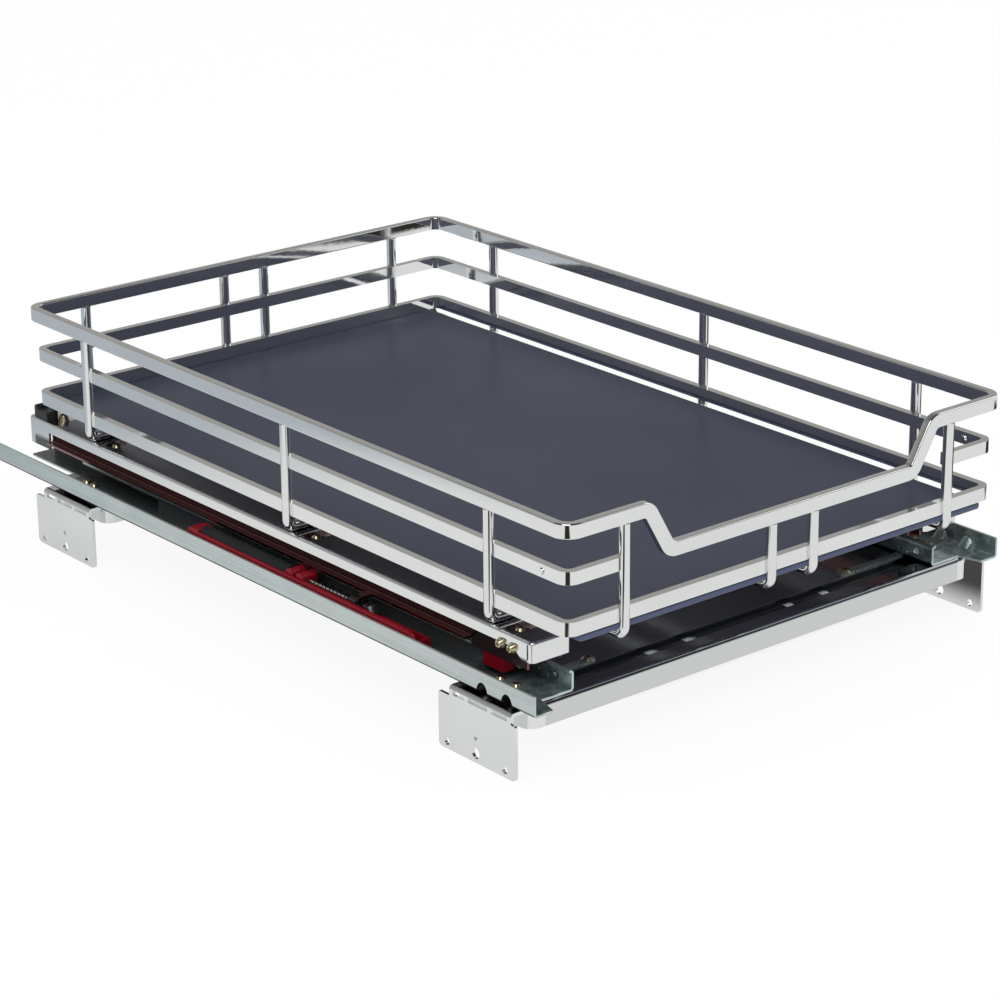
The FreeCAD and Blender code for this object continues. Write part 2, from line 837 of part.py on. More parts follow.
def roller_row(x_mid, z, length, at, span, count):
    rollers = []
    pockets = []
    pitch = span / count
    for i in range(count):
        y = along(at + pitch * (i + 0.5))
        start = Vector(x_mid - length / 2, y, z)
        end = Vector(x_mid + length / 2, y, z)
        rollers.append(cylinder(roller_diameter / 2, start, end))
        gap = roller_pocket_play
        pockets.append(box(x_mid - length / 2 - gap, x_mid + length / 2 + gap,
                           y - roller_diameter / 2 - gap, y + roller_diameter / 2 + gap,
                           z - roller_diameter, z + roller_diameter))
    return rollers, pockets


lip_bottom = rail_wall_top - floor_sheet
lower_x0 = rail_inner_face + cage_play
lower_x1 = rib_inner - cage_play
lower_cheek = middle_inner - cage_play - lower_x0
lower_cage = cage(lower_x0, lower_x1, lower_cheek, outer_cheek, lower_roller_z,
                  (lip_bottom - cage_play, rib_top - 0.5), lower_cage_at,
                  lower_cage_length)
lower_mid = (middle_inner + middle_foot) / 2
lower_rollers, pockets = roller_row(lower_mid, lower_roller_z, lower_roller_length,
                                    lower_cage_at, lower_cage_length, lower_roller_count)
lower_cage = cut_all(lower_cage, pockets)

upper_x0 = drawer_inner_face + cage_play
upper_x1 = drawer_outer_half - drawer_sheet - cage_play
upper_cage = cage(upper_x0, upper_x1, upper_cheek, upper_cheek, upper_roller_z,
                  (cheek_low, cheek_low), upper_cage_at, upper_cage_length)
upper_mid = (middle_inner + middle_head) / 2
upper_rollers, pockets = roller_row(upper_mid, upper_roller_z, upper_roller_length,
                                    upper_cage_at, upper_cage_length, upper_roller_count)
upper_cage = cut_all(upper_cage, pockets)

save_pair("middle_member", middle_member)
save_pair("buffer", buffer)
save_pair("lower_cage", lower_cage)
save_pair("lower_rollers", lower_rollers)
save_pair("upper_cage", upper_cage)
save_pair("upper_rollers", upper_rollers)


# Fixed rail, right side
rail_y0 = along(rail_front_at)
rail_y1 = along(rail_front_at + rail_length)


def pressed_dart(body, y):
    # Stiffening dart pressed into the outer bend. It is a half-round hollow outside
    # and a half-round ridge inside, and runs from the floor up to the wall at 45 degrees.
    corner = Vector(rail_outer_half, y, rail_bottom)
    slant = Vector(1, 0, 1).normalize()
    ridge_radius = dart_radius + floor_sheet
    reach = 2 * ridge_radius
    outline = [(rail_outer_half - reach, rail_bottom), (rail_outer_half, rail_bottom),
               (rail_outer_half, rail_bottom + reach),
               (rail_outer_half - reach, rail_bottom + reach)]
    room = loop(outline, [0, bend_inside + floor_sheet, 0, 0], across(y - reach))
    room = run_back(room, 2 * reach)
    ridge = cylinder(ridge_radius, corner.sub(slant * reach), corner.add(slant * reach))
    hollow = cylinder(dart_radius, corner.sub(slant * reach), corner.add(slant * reach))
    return fused([body, ridge.common(room)]).cut(hollow)


def fixed_rail():
    lip_x = middle_inner - cage_play
    line = [(rail_outer_half, rail_wall_top), (rail_outer_half, rail_bottom),
            (rail_inner_half, rail_bottom), (rail_inner_half, rail_wall_top),
            (min(rail_inner_half + rail_lip, lip_x), rail_wall_top)]
    body = run_back(sheet(line, floor_sheet, bend_inside, across(rail_y0)), rail_length)
    strip_x = rail_outer_half - rail_strip_width
    setback = rail_y0 + rail_floor_setback
    front = [(rail_inner_half - 1, rail_y0 - 1), (strip_x, rail_y0 - 1),
             (strip_x, rail_y0), (strip_x - 4.0, setback), (rail_inner_half - 1, setback)]
    cutter = loop(front, 0.0, flat(rail_bottom - 1))
    body = body.cut(cutter.extrude(Vector(0, 0, rail_wall_height + 2)))
    # Rear end: the floor is cut back beside the outer wall.
    floor_x = rail_inner_half + rail_rear_floor_width
    body = body.cut(box(floor_x, rail_outer_half - floor_sheet - bend_inside,
                        rail_y1 - rail_rear_slot, rail_y1 + 1, rail_bottom - 1,
                        floor_top + 0.5))
    body = body.cut(box(rail_inner_half - 1, rail_outer_half - floor_sheet - bend_inside,
                        rail_y1 - rail_rear_setback, rail_y1 + 1, rail_bottom - 1,
                        rail_wall_top + 1))
    for at in dart_at:
        body = pressed_dart(body, along(at))
    body = body.cut(hole_x(along(wall_hole_at), rail_bottom + wall_hole_rise,
                           rail_inner_half - 1, rail_inner_face + 1, wall_hole_radius))
    for back, up in wall_pilot_offsets:
        body = body.cut(hole_x(along(wall_hole_at) + back, rail_bottom + wall_hole_rise + up,
                               rail_inner_half - 1, rail_inner_face + 1, wall_pilot_radius))
    # Rib that guides the lower cage, and the lanced stop tab.
    y0 = along(rib_start_at)
    points = [(rib_inner, floor_top), (rib_inner + rib_width, floor_top),
              (rib_inner + rib_width, rib_top), (rib_inner, rib_top)]
    rib = run_back(loop(points, [0, 0, 1.0, 1.0], across(y0)), rib_length)
    tab_x = buffer_x1 + stop_tab_past_buffer
    tab = box(tab_x - stop_tab_width, tab_x, along(stop_tab_at), along(stop_tab_at) + floor_sheet,
              floor_top, floor_top + stop_tab_height)
    return fused([body, rib, tab])


rail_right = fixed_rail()
rail_screws = []
rail_holes = []
for at, offsets in ((front_cross_at, rail_screw_from_front),
                    (rear_cross_at, rail_screw_from_front_rear)):
    for offset in offsets:
        y = along(at + offset)
        rail_screws.append(domed_screw(Vector(rail_screw_half, y, floor_top),
                                       Vector(0, 0, 1), floor_sheet + cross_sheet + screw_end))
        rail_holes.append(Part.makeCylinder(screw_shank + screw_hole_gap,
                                            floor_sheet + cross_sheet + screw_end + 2,
                                            Vector(rail_screw_half, y,
                                                   rail_bottom - cross_sheet
                                                   - screw_end - 1)))
rail_right = cut_all(rail_right, rail_holes)
save_pair("fixed_rail", rail_right)

# Soft-close unit, right side
unit_y0 = along(unit_at)
unit_y1 = along(unit_rear_at)
outer_top = floor_top + unit_outer_height
inner_top = floor_top + unit_inner_height
unit_block_front_y = along(block_front_at)


def unit_side(thickness, y1):
    # Outer side wall with a rounded front end.
    line = [(unit_y0, floor_top), (y1, floor_top), (y1, outer_top), (unit_y0, outer_top)]
    wall = loop(line, [0, 0, 0, unit_front_round], upright(unit_outer_half - thickness))
    return wall.extrude(Vector(thickness, 0, 0))


def unit_hump(y0, height, round_off):
    line = [(y0, floor_top), (y0 + holder_hump, floor_top),
            (y0 + holder_hump, floor_top + height), (y0, floor_top + height)]
    hump = loop(line, [0, 0, round_off, round_off], upright(unit_inner_half))
    return hump.extrude(Vector(unit_width - unit_wall, 0, 0))


trough = fused([
    box(unit_inner_half, unit_outer_half, unit_y0, unit_y1, floor_top, unit_floor_top),
    unit_side(unit_wall, unit_y1), unit_side(unit_front_wall, unit_block_front_y),
    box(unit_inner_half, unit_inner_half + unit_wall, unit_y0, unit_y1, floor_top, inner_top),
    box(unit_inner_half, unit_outer_half - unit_wall, unit_y0, unit_y0 + unit_wall,
        floor_top, inner_top),
    box(unit_inner_half, unit_outer_half, along(damper_rear_at), unit_y1, floor_top,
        floor_top + rear_stop_height),
    box(unit_inner_half, unit_outer_half, unit_block_front_y, along(damper_front_at),
        floor_top, inner_top),
    unit_hump(unit_block_front_y, holder_height, holder_hump_round),
    unit_hump(along(damper_front_at) - holder_hump, holder_height, holder_hump_round)])
slant = [(unit_y1 - unit_rear_slope_run, floor_top + rear_stop_height + 1),
         (unit_y1 + 1, floor_top + rear_stop_height + 1),
         (unit_y1 + 1, outer_top - unit_rear_slope_drop)]
slope = loop(slant, 0.0, upright(unit_inner_half - 1))
trough = trough.cut(slope.extrude(Vector(unit_outer_half - unit_inner_half + 2, 0, 0)))
rod_way = cylinder(damper_rod_diameter / 2 + rod_running_gap,
                   Vector(unit_mid, along(block_front_at) - 1, damper_z),
                   Vector(unit_mid, along(damper_front_at) + 1, damper_z))
trough = trough.cut(rod_way)

damper_y0 = along(damper_front_at)
damper_y1 = along(damper_rear_at)
bore_radius = damper_diameter / 2 - damper_wall
end_wall = 2.5
damper = cylinder(damper_diameter / 2, Vector(unit_mid, damper_y0, damper_z),
                  Vector(unit_mid, damper_y1, damper_z))
damper = damper.cut(cylinder(bore_radius, Vector(unit_mid, damper_y0 + end_wall, damper_z),
                             Vector(unit_mid, damper_y1 - end_wall, damper_z)))
damper = damper.cut(cylinder(damper_rod_diameter / 2 + rod_running_gap,
                             Vector(unit_mid, damper_y0 - 1, damper_z),
                             Vector(unit_mid, damper_y0 + end_wall + 1, damper_z)))

catch_y0 = along(catch_front_at)
catch_y1 = along(catch_rear_at)
piston_y1 = damper_y1 - end_wall - 1.0
damper_rod = fused([
    cylinder(damper_rod_diameter / 2, Vector(unit_mid, catch_y1, damper_z),
             Vector(unit_mid, piston_y1, damper_z)),
    cylinder(bore_radius - rod_running_gap, Vector(unit_mid, piston_y1 - piston_length, damper_z),
             Vector(unit_mid, piston_y1, damper_z))])

catch_bottom = unit_floor_top + 0.3
catch_line = [(catch_y0, catch_bottom), (catch_y1, catch_bottom), (catch_y1, catch_top - 0.0),
              (along(catch_mid_at) + catch_notch / 2, catch_top),
              (along(catch_mid_at) + catch_notch / 2, catch_top - catch_notch_depth),
              (along(catch_mid_at) - catch_notch / 2, catch_top - catch_notch_depth),
              (along(catch_mid_at) - catch_notch / 2, catch_top),
              (catch_y0 + 4.0, catch_top), (catch_y0, catch_top - 4.0)]
catch = loop(catch_line, [0.5, 0.5, 1.0, 0.5, 0.5, 0.5, 0.5, 1.0, 1.0],
             upright(unit_mid - catch_width / 2))
catch = catch.extrude(Vector(catch_width, 0, 0))


def two_arcs(start, way_in, end, way_out):
    # Two tangent arcs from one point to another, leaving and arriving along given directions.
    gap = end.sub(start)
    both = way_in.add(way_out)
    a = 2 * (way_in.dot(way_out) - 1)
    b = -2 * gap.dot(both)
    c = gap.dot(gap)
    reach = (-b - math.sqrt(b * b - 4 * a * c)) / (2 * a)
    first = start.add(way_in * reach)
    last = end.sub(way_out * reach)
    joint = (first + last) * 0.5
    edges = []
    for near, corner, away in ((start, first, joint), (joint, last, end)):
        chord_mid = (near + away) * 0.5
        half = away.sub(near).Length / 2
        height = corner.sub(chord_mid).Length
        sagitta = half * (reach - half) / height
        crown = chord_mid + (corner - chord_mid) * (sagitta / height)
        edges.append(Part.Arc(near, crown, away).toShape())
    return edges


def coil(start, end, wire, diameter, turns):
    # Coil along Y round the damper's rod. Each end runs straight into what it meets.
    radius = (diameter - wire) / 2
    bend = spring_end_bend
    y0 = start.y + wire + bend
    y1 = end.y - wire - bend
    pitch = (y1 - y0) / turns
    rise = pitch / (2 * math.pi)

    def at(angle, y):
        return Vector(start.x + radius * math.cos(angle), y, start.z + radius * math.sin(angle))

    def way(angle):
        direction = Vector(-radius * math.sin(angle), rise, radius * math.cos(angle))
        return direction.normalize()

    back = Vector(0, 1, 0)
    swing = bend / radius
    last_angle = 2 * math.pi * turns
    stations = [(at(-swing, y0 - bend), back)]
    for k in range(4 * turns + 1):
        angle = k * math.pi / 2
        stations.append((at(angle, y0 + rise * angle), way(angle)))
    stations.append((at(last_angle + swing, y1 + bend), back))
    edges = [Part.LineSegment(stations[0][0] - back * wire, stations[0][0]).toShape()]
    for (here, leaving), (there, arriving) in zip(stations, stations[1:]):
        edges.extend(two_arcs(here, leaving, there, arriving))
    edges.append(Part.LineSegment(stations[-1][0], stations[-1][0] + back * wire).toShape())
    path = Part.Wire(edges)
    ring = Part.Wire(Part.Circle(stations[0][0] - back * wire, back, wire / 2).toShape())
    body = path.makePipeShell([ring], True, False)
    points = path.discretize(Number=24 * turns)
    apart = path.Length / (24 * turns)
    clear = min(points[i].sub(points[j]).Length for i in range(len(points))
                for j in range(i) if (i - j) * apart > math.pi * radius)
    print("coil: least gap between turns", round(clear - wire, 3))
    print("coil: volume over section times length",
          round(body.Volume / (math.pi * wire * wire / 4 * path.Length), 4))
    return body


spring = coil(Vector(unit_mid, catch_y1 + spring_end_gap, damper_z),
              Vector(unit_mid, along(block_front_at) - spring_end_gap, damper_z),
              spring_wire, spring_diameter, spring_turns)

save_pair("soft_close_housing", trough)
save_pair("damper_cylinder", damper)
save_pair("damper_rod", damper_rod)
save_pair("catch", catch)
save_pair("catch_spring", spring)


# Crossmembers
tongue_top = rail_bottom - cross_sheet - tongue_play
tongue_front = bracket_neck_front + bracket_neck_width - tongue_width - bracket_overhang


def crossmember(at):
    y0 = along(at)
    y1 = y0 + cross_width
    top = rail_bottom
    low = top - cross_height
    outer = plate(-cross_half, cross_half, y0, y1, low, top, cross_corner)
    rim = [e for e in outer.Edges if e.BoundBox.ZMin > top - 1e-6]
    outer = outer.makeFillet(cross_top_round, rim)
    inner = plate(-cross_half + cross_sheet, cross_half - cross_sheet, y0 + cross_sheet,
                  y1 - cross_sheet, low, top - cross_sheet, cross_corner - cross_sheet)
    g0 = y0 + groove_front
    g1 = g0 + groove_width
    reach = cross_half - cross_corner
    groove = plate(-reach, reach, g0, g1, top - groove_depth, top + 1, 1.5)
    ridge = plate(-reach - cross_sheet, reach + cross_sheet, g0 - cross_sheet,
                  g1 + cross_sheet, top - groove_depth - cross_sheet, top, 1.5 + cross_sheet)
    pan = outer.cut(groove).cut(inner.cut(ridge))
    for x in groove_slot_half:
        for side in (-1, 1):
            pan = pan.cut(box(side * x - groove_slot_length / 2,
                              side * x + groove_slot_length / 2,
                              g0 + groove_slot_to_edge, g1 - groove_slot_to_edge, low, top))
    # Mouths in both ends for the brackets' tongues.
    for side in (-1, 1):
        xa = side * cross_half
        xb = side * (cross_half - cross_corner)
        pan = pan.cut(box(min(xa, xb) - 1, max(xa, xb) + 1,
                          y0 + tongue_front - tongue_play,
                          y0 + tongue_front + tongue_width + tongue_play,
                          tongue_top - bracket_sheet - 2 * tongue_play, tongue_top + tongue_play))
    return pan


cross_front = crossmember(front_cross_at)
cross_rear = crossmember(rear_cross_at)
strap_y = along(strap_at)
strap_outer = rail_inner_half - strap_to_rail
strap_top = rail_bottom + strap_sheet
strap_screw_length = strap_sheet + cross_sheet + screw_end


def tie_strap(screw_half):
    # Serrated strap from the rail to its screw, right side.
    screw_x = screw_half
    end_x = screw_x - strap_past_screw
    y0 = strap_y - strap_width / 2
    y1 = strap_y + strap_width / 2
    points = [(end_x, y0), (strap_outer, y0), (strap_outer, y1), (end_x, y1)]
    corner = strap_width / 2 - strap_to_rail
    strap = loop(points, [corner, 0, 0, corner], flat(rail_bottom))
    strap = strap.extrude(Vector(0, 0, strap_sheet))
    first = screw_x + strap_screw_head + strap_pitch
    teeth = int((strap_outer - first) / strap_pitch)
    for k in range(teeth):
        x = first + k * strap_pitch
        strap = strap.cut(box(x, x + strap_pitch / 2, y0 - 1, y0 + strap_tooth,
                              rail_bottom - 1, strap_top + 1))
    way = cylinder(screw_shank + screw_hole_gap, Vector(screw_x, strap_y, strap_top + 1),
                   Vector(screw_x, strap_y, strap_top - strap_screw_length - 1))
    screw = domed_screw(Vector(screw_x, strap_y, strap_top), Vector(0, 0, 1),
                        strap_screw_length, strap_screw_head)
    return strap.cut(way), screw, way


straps = {name: tie_strap(half) for name, half in strap_screw_half.items()}
straps["left"] = [mirrored(shape) for shape in straps["left"]]
cross_front = cut_all(cross_front, [way for strap, screw, way in straps.values()])
for hole in rail_holes:
    for tool in (hole, mirrored(hole)):
        cross_front = cross_front.cut(tool)
        cross_rear = cross_rear.cut(tool)

save("crossmember_front", cross_front)
save("crossmember_rear", cross_rear)
for name, (strap, strap_screw, way) in straps.items():
    side_screws_there = rail_screws
    if name == "left":
        side_screws_there = [mirrored(shape) for shape in rail_screws]
    save("tie_strap_" + name, strap)
    save("rail_screws_" + name, side_screws_there + [strap_screw])


# Brackets, right side
def bracket(at):
    x1 = bracket_outer_half
    x0 = x1 - bracket_sheet
    y0 = along(at) - bracket_overhang
    y1 = y0 + bracket_width
    face_points = [(y0, 0), (y1, 0), (y1, bracket_height), (y0, bracket_height)]
    face = loop(face_points, [bracket_corner, bracket_corner, 1.0, 1.0], upright(x0))
    panel = face.extrude(Vector(bracket_sheet, 0, 0))
    n0 = y0 + bracket_neck_front
    n1 = n0 + bracket_neck_width
    fold = [(x1, bracket_height - 2), (x1, tongue_top),
            (cross_half + 1.0, tongue_top)]
    # The neck rises from the plate and folds in under the rail.
    line = list(reversed(fold))
    neck = sheet(line, bracket_sheet, bend_inside, across(n0))
    neck = run_back(neck, bracket_neck_width)
    t0 = along(at) + tongue_front
    tongue = box(cross_half - tongue_reach, cross_half + 2.0, t0, t0 + tongue_width,
                 tongue_top - bracket_sheet, tongue_top)
    body = fused([panel, neck, tongue])
    # Windows under the fold leave narrow webs.
    stops = [0.0] + bracket_web_at + [bracket_neck_width]
    z0 = bracket_height + bracket_window_rise
    z1 = tongue_top - bracket_sheet - 0.3
    for i in range(len(stops) - 1):
        a = n0 + stops[i] + (bracket_web / 2 if i else bracket_web)
        b = n0 + stops[i + 1] - (bracket_web / 2 if i < len(stops) - 2 else bracket_web)
        body = body.cut(box(x0 - 1, x1 + 1, a, b, z0, z1))
    for dy in (0.0, mount_hole_spacing):
        body = body.cut(hole_x(y0 + mount_hole_from_front + dy, mount_hole_rise,
                               x0 - 1, x1 + 1, mount_hole_radius))
    body = body.cut(hole_x(y0 + middle_hole_from_front, key_hole_rise, x0 - 1, x1 + 1,
                           key_hole_radius))
    body = body.cut(hole_x(y0 + middle_hole_from_front, pilot_hole_rise, x0 - 1, x1 + 1,
                           pilot_hole_radius))
    return body


save_pair("bracket_front", cut_all(bracket(front_cross_at), rail_holes))
save_pair("bracket_rear", cut_all(bracket(rear_cross_at), rail_holes))
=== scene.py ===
import bpy
import json
import math
from mathutils import Matrix, Vector

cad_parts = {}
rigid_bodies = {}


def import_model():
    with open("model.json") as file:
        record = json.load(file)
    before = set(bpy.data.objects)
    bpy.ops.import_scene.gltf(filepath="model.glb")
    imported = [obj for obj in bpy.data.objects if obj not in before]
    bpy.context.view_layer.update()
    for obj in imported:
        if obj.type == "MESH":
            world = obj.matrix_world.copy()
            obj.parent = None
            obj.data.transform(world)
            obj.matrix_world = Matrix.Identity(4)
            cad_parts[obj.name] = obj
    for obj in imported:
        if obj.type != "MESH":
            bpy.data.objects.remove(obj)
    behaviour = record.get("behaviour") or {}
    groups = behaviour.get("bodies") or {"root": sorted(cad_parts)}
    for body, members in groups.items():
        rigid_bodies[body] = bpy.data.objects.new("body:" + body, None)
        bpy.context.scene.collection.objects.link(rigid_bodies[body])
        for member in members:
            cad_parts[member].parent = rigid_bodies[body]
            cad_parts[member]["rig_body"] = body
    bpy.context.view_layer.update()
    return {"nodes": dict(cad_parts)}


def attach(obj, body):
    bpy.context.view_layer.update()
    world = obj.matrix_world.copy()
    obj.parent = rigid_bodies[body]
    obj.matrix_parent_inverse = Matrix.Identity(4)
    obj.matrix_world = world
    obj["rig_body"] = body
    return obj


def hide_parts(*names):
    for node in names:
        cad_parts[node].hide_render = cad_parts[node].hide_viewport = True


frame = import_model()

bl_info = {
    "name": "Pull-out storage basket",
    "version": (1, 0, 0),
    "blender": (4, 5, 0),
    "location": "View3D > Sidebar > Basket",
    "description": "Finishes and fine details of a chrome pull-out basket on soft-close slides",
    "category": "Object",
}


# Places on the solids, in metres from the middle, front to rear and up

# Between the fixed rails' walls: across, in height and where the painted shade in the channel
# starts
RAIL_CHANNEL = (0.1405, 0.1812)
RAIL_DEPTH = (0.0417, 0.0528)
CHANNEL_SHADE_FRONT = (-0.240, -0.205)
# Front crossmember's plate behind its bent edge: length, half width and tops of its grooves
FRONT_PLATE = (-0.2534, -0.1900)
PLATE_REACH = 0.1630
GROOVE_TOP = (0.0402, 0.0394)
PLATE_BLUR = 0.0002
SHARP_BLUR = 0.0003

# Colours of single places on a finish; the plate, groove, channel and underside colours are
# painted shade
PLATE_SHADE = (0.42, 0.435, 0.48)
GROOVE_SHADE = (0.14, 0.155, 0.165)
CHANNEL_SHADE_COLOUR = (0.090, 0.100, 0.105)
WIPED_COLOURS = ((0.20, 0.28, 0.30), (0.72, 0.86, 0.88))
UNDERSIDE_SHADE = (0.020, 0.022, 0.022)
PALE_ZINC = (0.62, 0.60, 0.50)
TRAY_SHEEN = (0.60, 0.68, 0.86)
# How far the drawer members' walls seem to lean
WALL_LEAN = (0.0, 0.0, -0.40)

# Softening of the solids' edges
SCREW_EDGE = 0.00015
MERGE_DISTANCE = 2e-6
EMPTY_FACE = 1e-6
FLAT_ANGLE = math.radians(0.5)
ROUNDED_ANGLE = math.radians(34.0)
SMOOTH_ANGLE = math.radians(32.0)

# Cross recesses of the screws: width and depth as shares of the head's radius, and how far
# below a screw's end, in metres, its points count as that end
CROSS_WIDTH = 0.26
CROSS_DEPTH = 0.36
END_DEPTH = 0.0003

# The floor and room that metal mirrors: the floor's near zone, its dim end and the basket's
# shade, as places in metres, with directions as shares of x and y
NEAR_SIDES = (-0.20, 0.20)
NEAR_FRONT = (-0.300, -0.285)
NEAR_REAR = (0.42, 0.18)
NEAR_BLUR = 0.12
REAR_TONE = (-0.20, 0.28)
DIM_DIRECTION = (-0.596, 0.724)
DIM_END = (0.29, 0.50)
SHADE_RIGHT = (0.188, 0.148)
SHADE_REAR = 0.262
SHADE_BLUR = (0.03, 0.015)
SHADE_IN_METAL = (-0.08, -0.276)
SHADE_TO_EYE = (-0.06, -0.20)
CARD_DIRECTION = (0.64, -0.768)
LEFT_CARD = ((-0.60, -0.29), (0.05, 0.23))
RIGHT_CARD = ((0.40, 0.60), (-0.45, -0.15))
CARD_BLUR = (0.025, 0.02)
FAR_DIRECTION = (0.636, 0.772)
FAR_SIDE = (-0.20, 0.30)
REAR_WALL = (0.30, 0.68)

# Lamps of the stage: place, size in metres, and the point that both face
KEY_LAMP = ((-1.6, -1.3, 2.2), 1.8)
FILL_LAMP = ((2.0, -0.9, 1.5), 1.6)
LAMP_AIM = (0.0, 0.0, 0.05)


# Sizes and colours that can be changed

class StageSettings(bpy.types.PropertyGroup):
    camera_place: bpy.props.FloatVectorProperty(
        name="Camera place", description="Where the camera stands", size=3, subtype="TRANSLATION",
        default=(-1.17679, -1.44719, 0.73472))
    camera_turn: bpy.props.FloatProperty(
        name="Camera turn", description="Direction round the basket, from the front to the left",
        subtype="ANGLE", default=math.radians(39.475))
    camera_height: bpy.props.FloatProperty(
        name="Camera height", description="Angle that the camera looks down by",
        subtype="ANGLE", default=math.radians(20.240))
    camera_roll: bpy.props.FloatProperty(
        name="Camera roll", description="Turn of the camera about its own line of sight",
        subtype="ANGLE", default=math.radians(-0.478))
    camera_lens: bpy.props.FloatProperty(
        name="Lens", description="Focal length on a 36 mm sensor", unit="CAMERA", default=113.85)
    floor_size: bpy.props.FloatProperty(
        name="Floor size", description="Length of the floor's sides", unit="LENGTH", default=16.0)
    floor_colour: bpy.props.FloatVectorProperty(
        name="Floor", description="Colour of the floor", subtype="COLOR", size=3,
        default=(0.90, 0.90, 0.90))
    floor_whiteness: bpy.props.FloatProperty(
        name="Floor whiteness", description="Share of the floor that the eye sees as plain white",
        subtype="FACTOR", default=0.92)
    shade_depth: bpy.props.FloatProperty(
        name="Shade depth", description="Share of the white that the shaded floor under the "
        "basket loses", subtype="FACTOR", default=0.80)
    horizon_colour: bpy.props.FloatVectorProperty(
        name="Horizon", description="What bright metal mirrors low in the room", subtype="COLOR",
        size=3, default=(0.84, 0.85, 0.86))
    wall_colour: bpy.props.FloatVectorProperty(
        name="Wall", description="What bright metal mirrors a little above the horizon",
        subtype="COLOR", size=3, default=(0.36, 0.352, 0.335))
    ceiling_colour: bpy.props.FloatVectorProperty(
        name="Ceiling", description="What bright metal mirrors high in the room", subtype="COLOR",
        size=3, default=(0.085, 0.075, 0.065))
    near_side_share: bpy.props.FloatProperty(
        name="Near side of the room", description="Brightness of the camera's side of the room "
        "beside the far side, as metal mirrors it", subtype="FACTOR", default=0.40)
    floor_near: bpy.props.FloatVectorProperty(
        name="Floor near", description="What metal mirrors of the floor close to the basket",
        subtype="COLOR", size=3, default=(0.70, 0.71, 0.70))
    floor_near_rear: bpy.props.FloatVectorProperty(
        name="Floor near the rear", description="What metal mirrors of the floor close to the "
        "basket's rear", subtype="COLOR", size=3, default=(0.56, 0.58, 0.58))
    floor_far: bpy.props.FloatVectorProperty(
        name="Floor far", description="What metal mirrors of the floor away from the basket",
        subtype="COLOR", size=3, default=(0.81, 0.815, 0.80))
    floor_dim: bpy.props.FloatVectorProperty(
        name="Floor at the left rear", description="What metal mirrors of the floor's dim end",
        subtype="COLOR", size=3, default=(0.46, 0.50, 0.53))
    floor_under: bpy.props.FloatVectorProperty(
        name="Floor under the basket", description="What metal mirrors of the shaded floor",
        subtype="COLOR", size=3, default=(0.07, 0.065, 0.065))
    flag_colour: bpy.props.FloatVectorProperty(
        name="Flags", description="What metal mirrors of the dark cards beside the set",
        subtype="COLOR", size=3, default=(0.030, 0.026, 0.020))
    low_light: bpy.props.FloatProperty(
        name="Low room light", description="Strength of the room's light near the horizon",
        default=0.35)
    high_light: bpy.props.FloatProperty(
        name="High room light", description="Strength of the room's light overhead", default=1.15)
    key_power: bpy.props.FloatProperty(
        name="Key lamp", description="Power of the large lamp above the left front", unit="POWER",
        default=30.0)
    fill_power: bpy.props.FloatProperty(
        name="Fill lamp", description="Power of the lamp at the right", unit="POWER", default=9.0)


class FinishSettings(bpy.types.PropertyGroup):
    ring_edge: bpy.props.FloatProperty(
        name="Ring edges", description="Rounding of the rings' edges", unit="LENGTH",
        default=0.0009)
    sheet_edge: bpy.props.FloatProperty(
        name="Sheet edges", description="Rounding of the cut edges of sheet metal", unit="LENGTH",
        default=0.0003)
    moulded_edge: bpy.props.FloatProperty(
        name="Moulded edges", description="Rounding of the edges of plastic pieces", unit="LENGTH",
        default=0.0004)
    chrome_colour: bpy.props.FloatVectorProperty(
        name="Chrome", description="Colour of the chrome plate", subtype="COLOR", size=3,
        default=(0.86, 0.87, 0.875))
    galvanised_colour: bpy.props.FloatVectorProperty(
        name="Galvanised sheet", description="Colour of the slides' zinc coat", subtype="COLOR",
        size=3, default=(0.58, 0.645, 0.64))
    # Dark red colour of the drawer members, a painted reflection of the red soft-close units
    drawn_steel_reflection_colour: bpy.props.FloatVectorProperty(
        name="Drawn steel", description="Colour of the members that carry the basket",
        subtype="COLOR", size=3, default=(0.23, 0.115, 0.115))
    tray_colour: bpy.props.FloatVectorProperty(
        name="Tray", description="Colour of the tray's face", subtype="COLOR", size=3,
        default=(0.033, 0.037, 0.062))
    tray_edge_colour: bpy.props.FloatVectorProperty(
        name="Tray edge", description="Colour of the band round the tray", subtype="COLOR", size=3,
        default=(0.075, 0.090, 0.150))
    tray_under_colour: bpy.props.FloatVectorProperty(
        name="Tray underside", description="Colour of the tray's underside", subtype="COLOR",
        size=3, default=(0.20, 0.195, 0.24))
    red_colour: bpy.props.FloatVectorProperty(
        name="Red plastic", description="Colour of the soft-close unit and buffers",
        subtype="COLOR", size=3, default=(0.19, 0.003, 0.010))
    damper_colour: bpy.props.FloatVectorProperty(
        name="Damper", description="Colour of the damper tubes", subtype="COLOR", size=3,
        default=(0.014, 0.015, 0.017))
    black_colour: bpy.props.FloatVectorProperty(
        name="Black plastic", description="Colour of the blocks and catches", subtype="COLOR",
        size=3, default=(0.012, 0.012, 0.013))
    cage_colour: bpy.props.FloatVectorProperty(
        name="Roller cages", description="Colour of the natural plastic", subtype="COLOR", size=3,
        default=(0.55, 0.54, 0.50))
    zinc_colour: bpy.props.FloatVectorProperty(
        name="Yellow zinc", description="Colour of the screws", subtype="COLOR", size=3,
        default=(0.66, 0.55, 0.30))
    # The catch springs are given a very dark steel colour
    spring_colour: bpy.props.FloatVectorProperty(
        name="Springs", description="Colour of the very dark catch springs", subtype="COLOR", size=3,
        default=(0.022, 0.022, 0.022))
    steel_colour: bpy.props.FloatVectorProperty(
        name="Bright steel", description="Colour of rollers and rods", subtype="COLOR",
        size=3, default=(0.68, 0.68, 0.67))


# Shader helpers

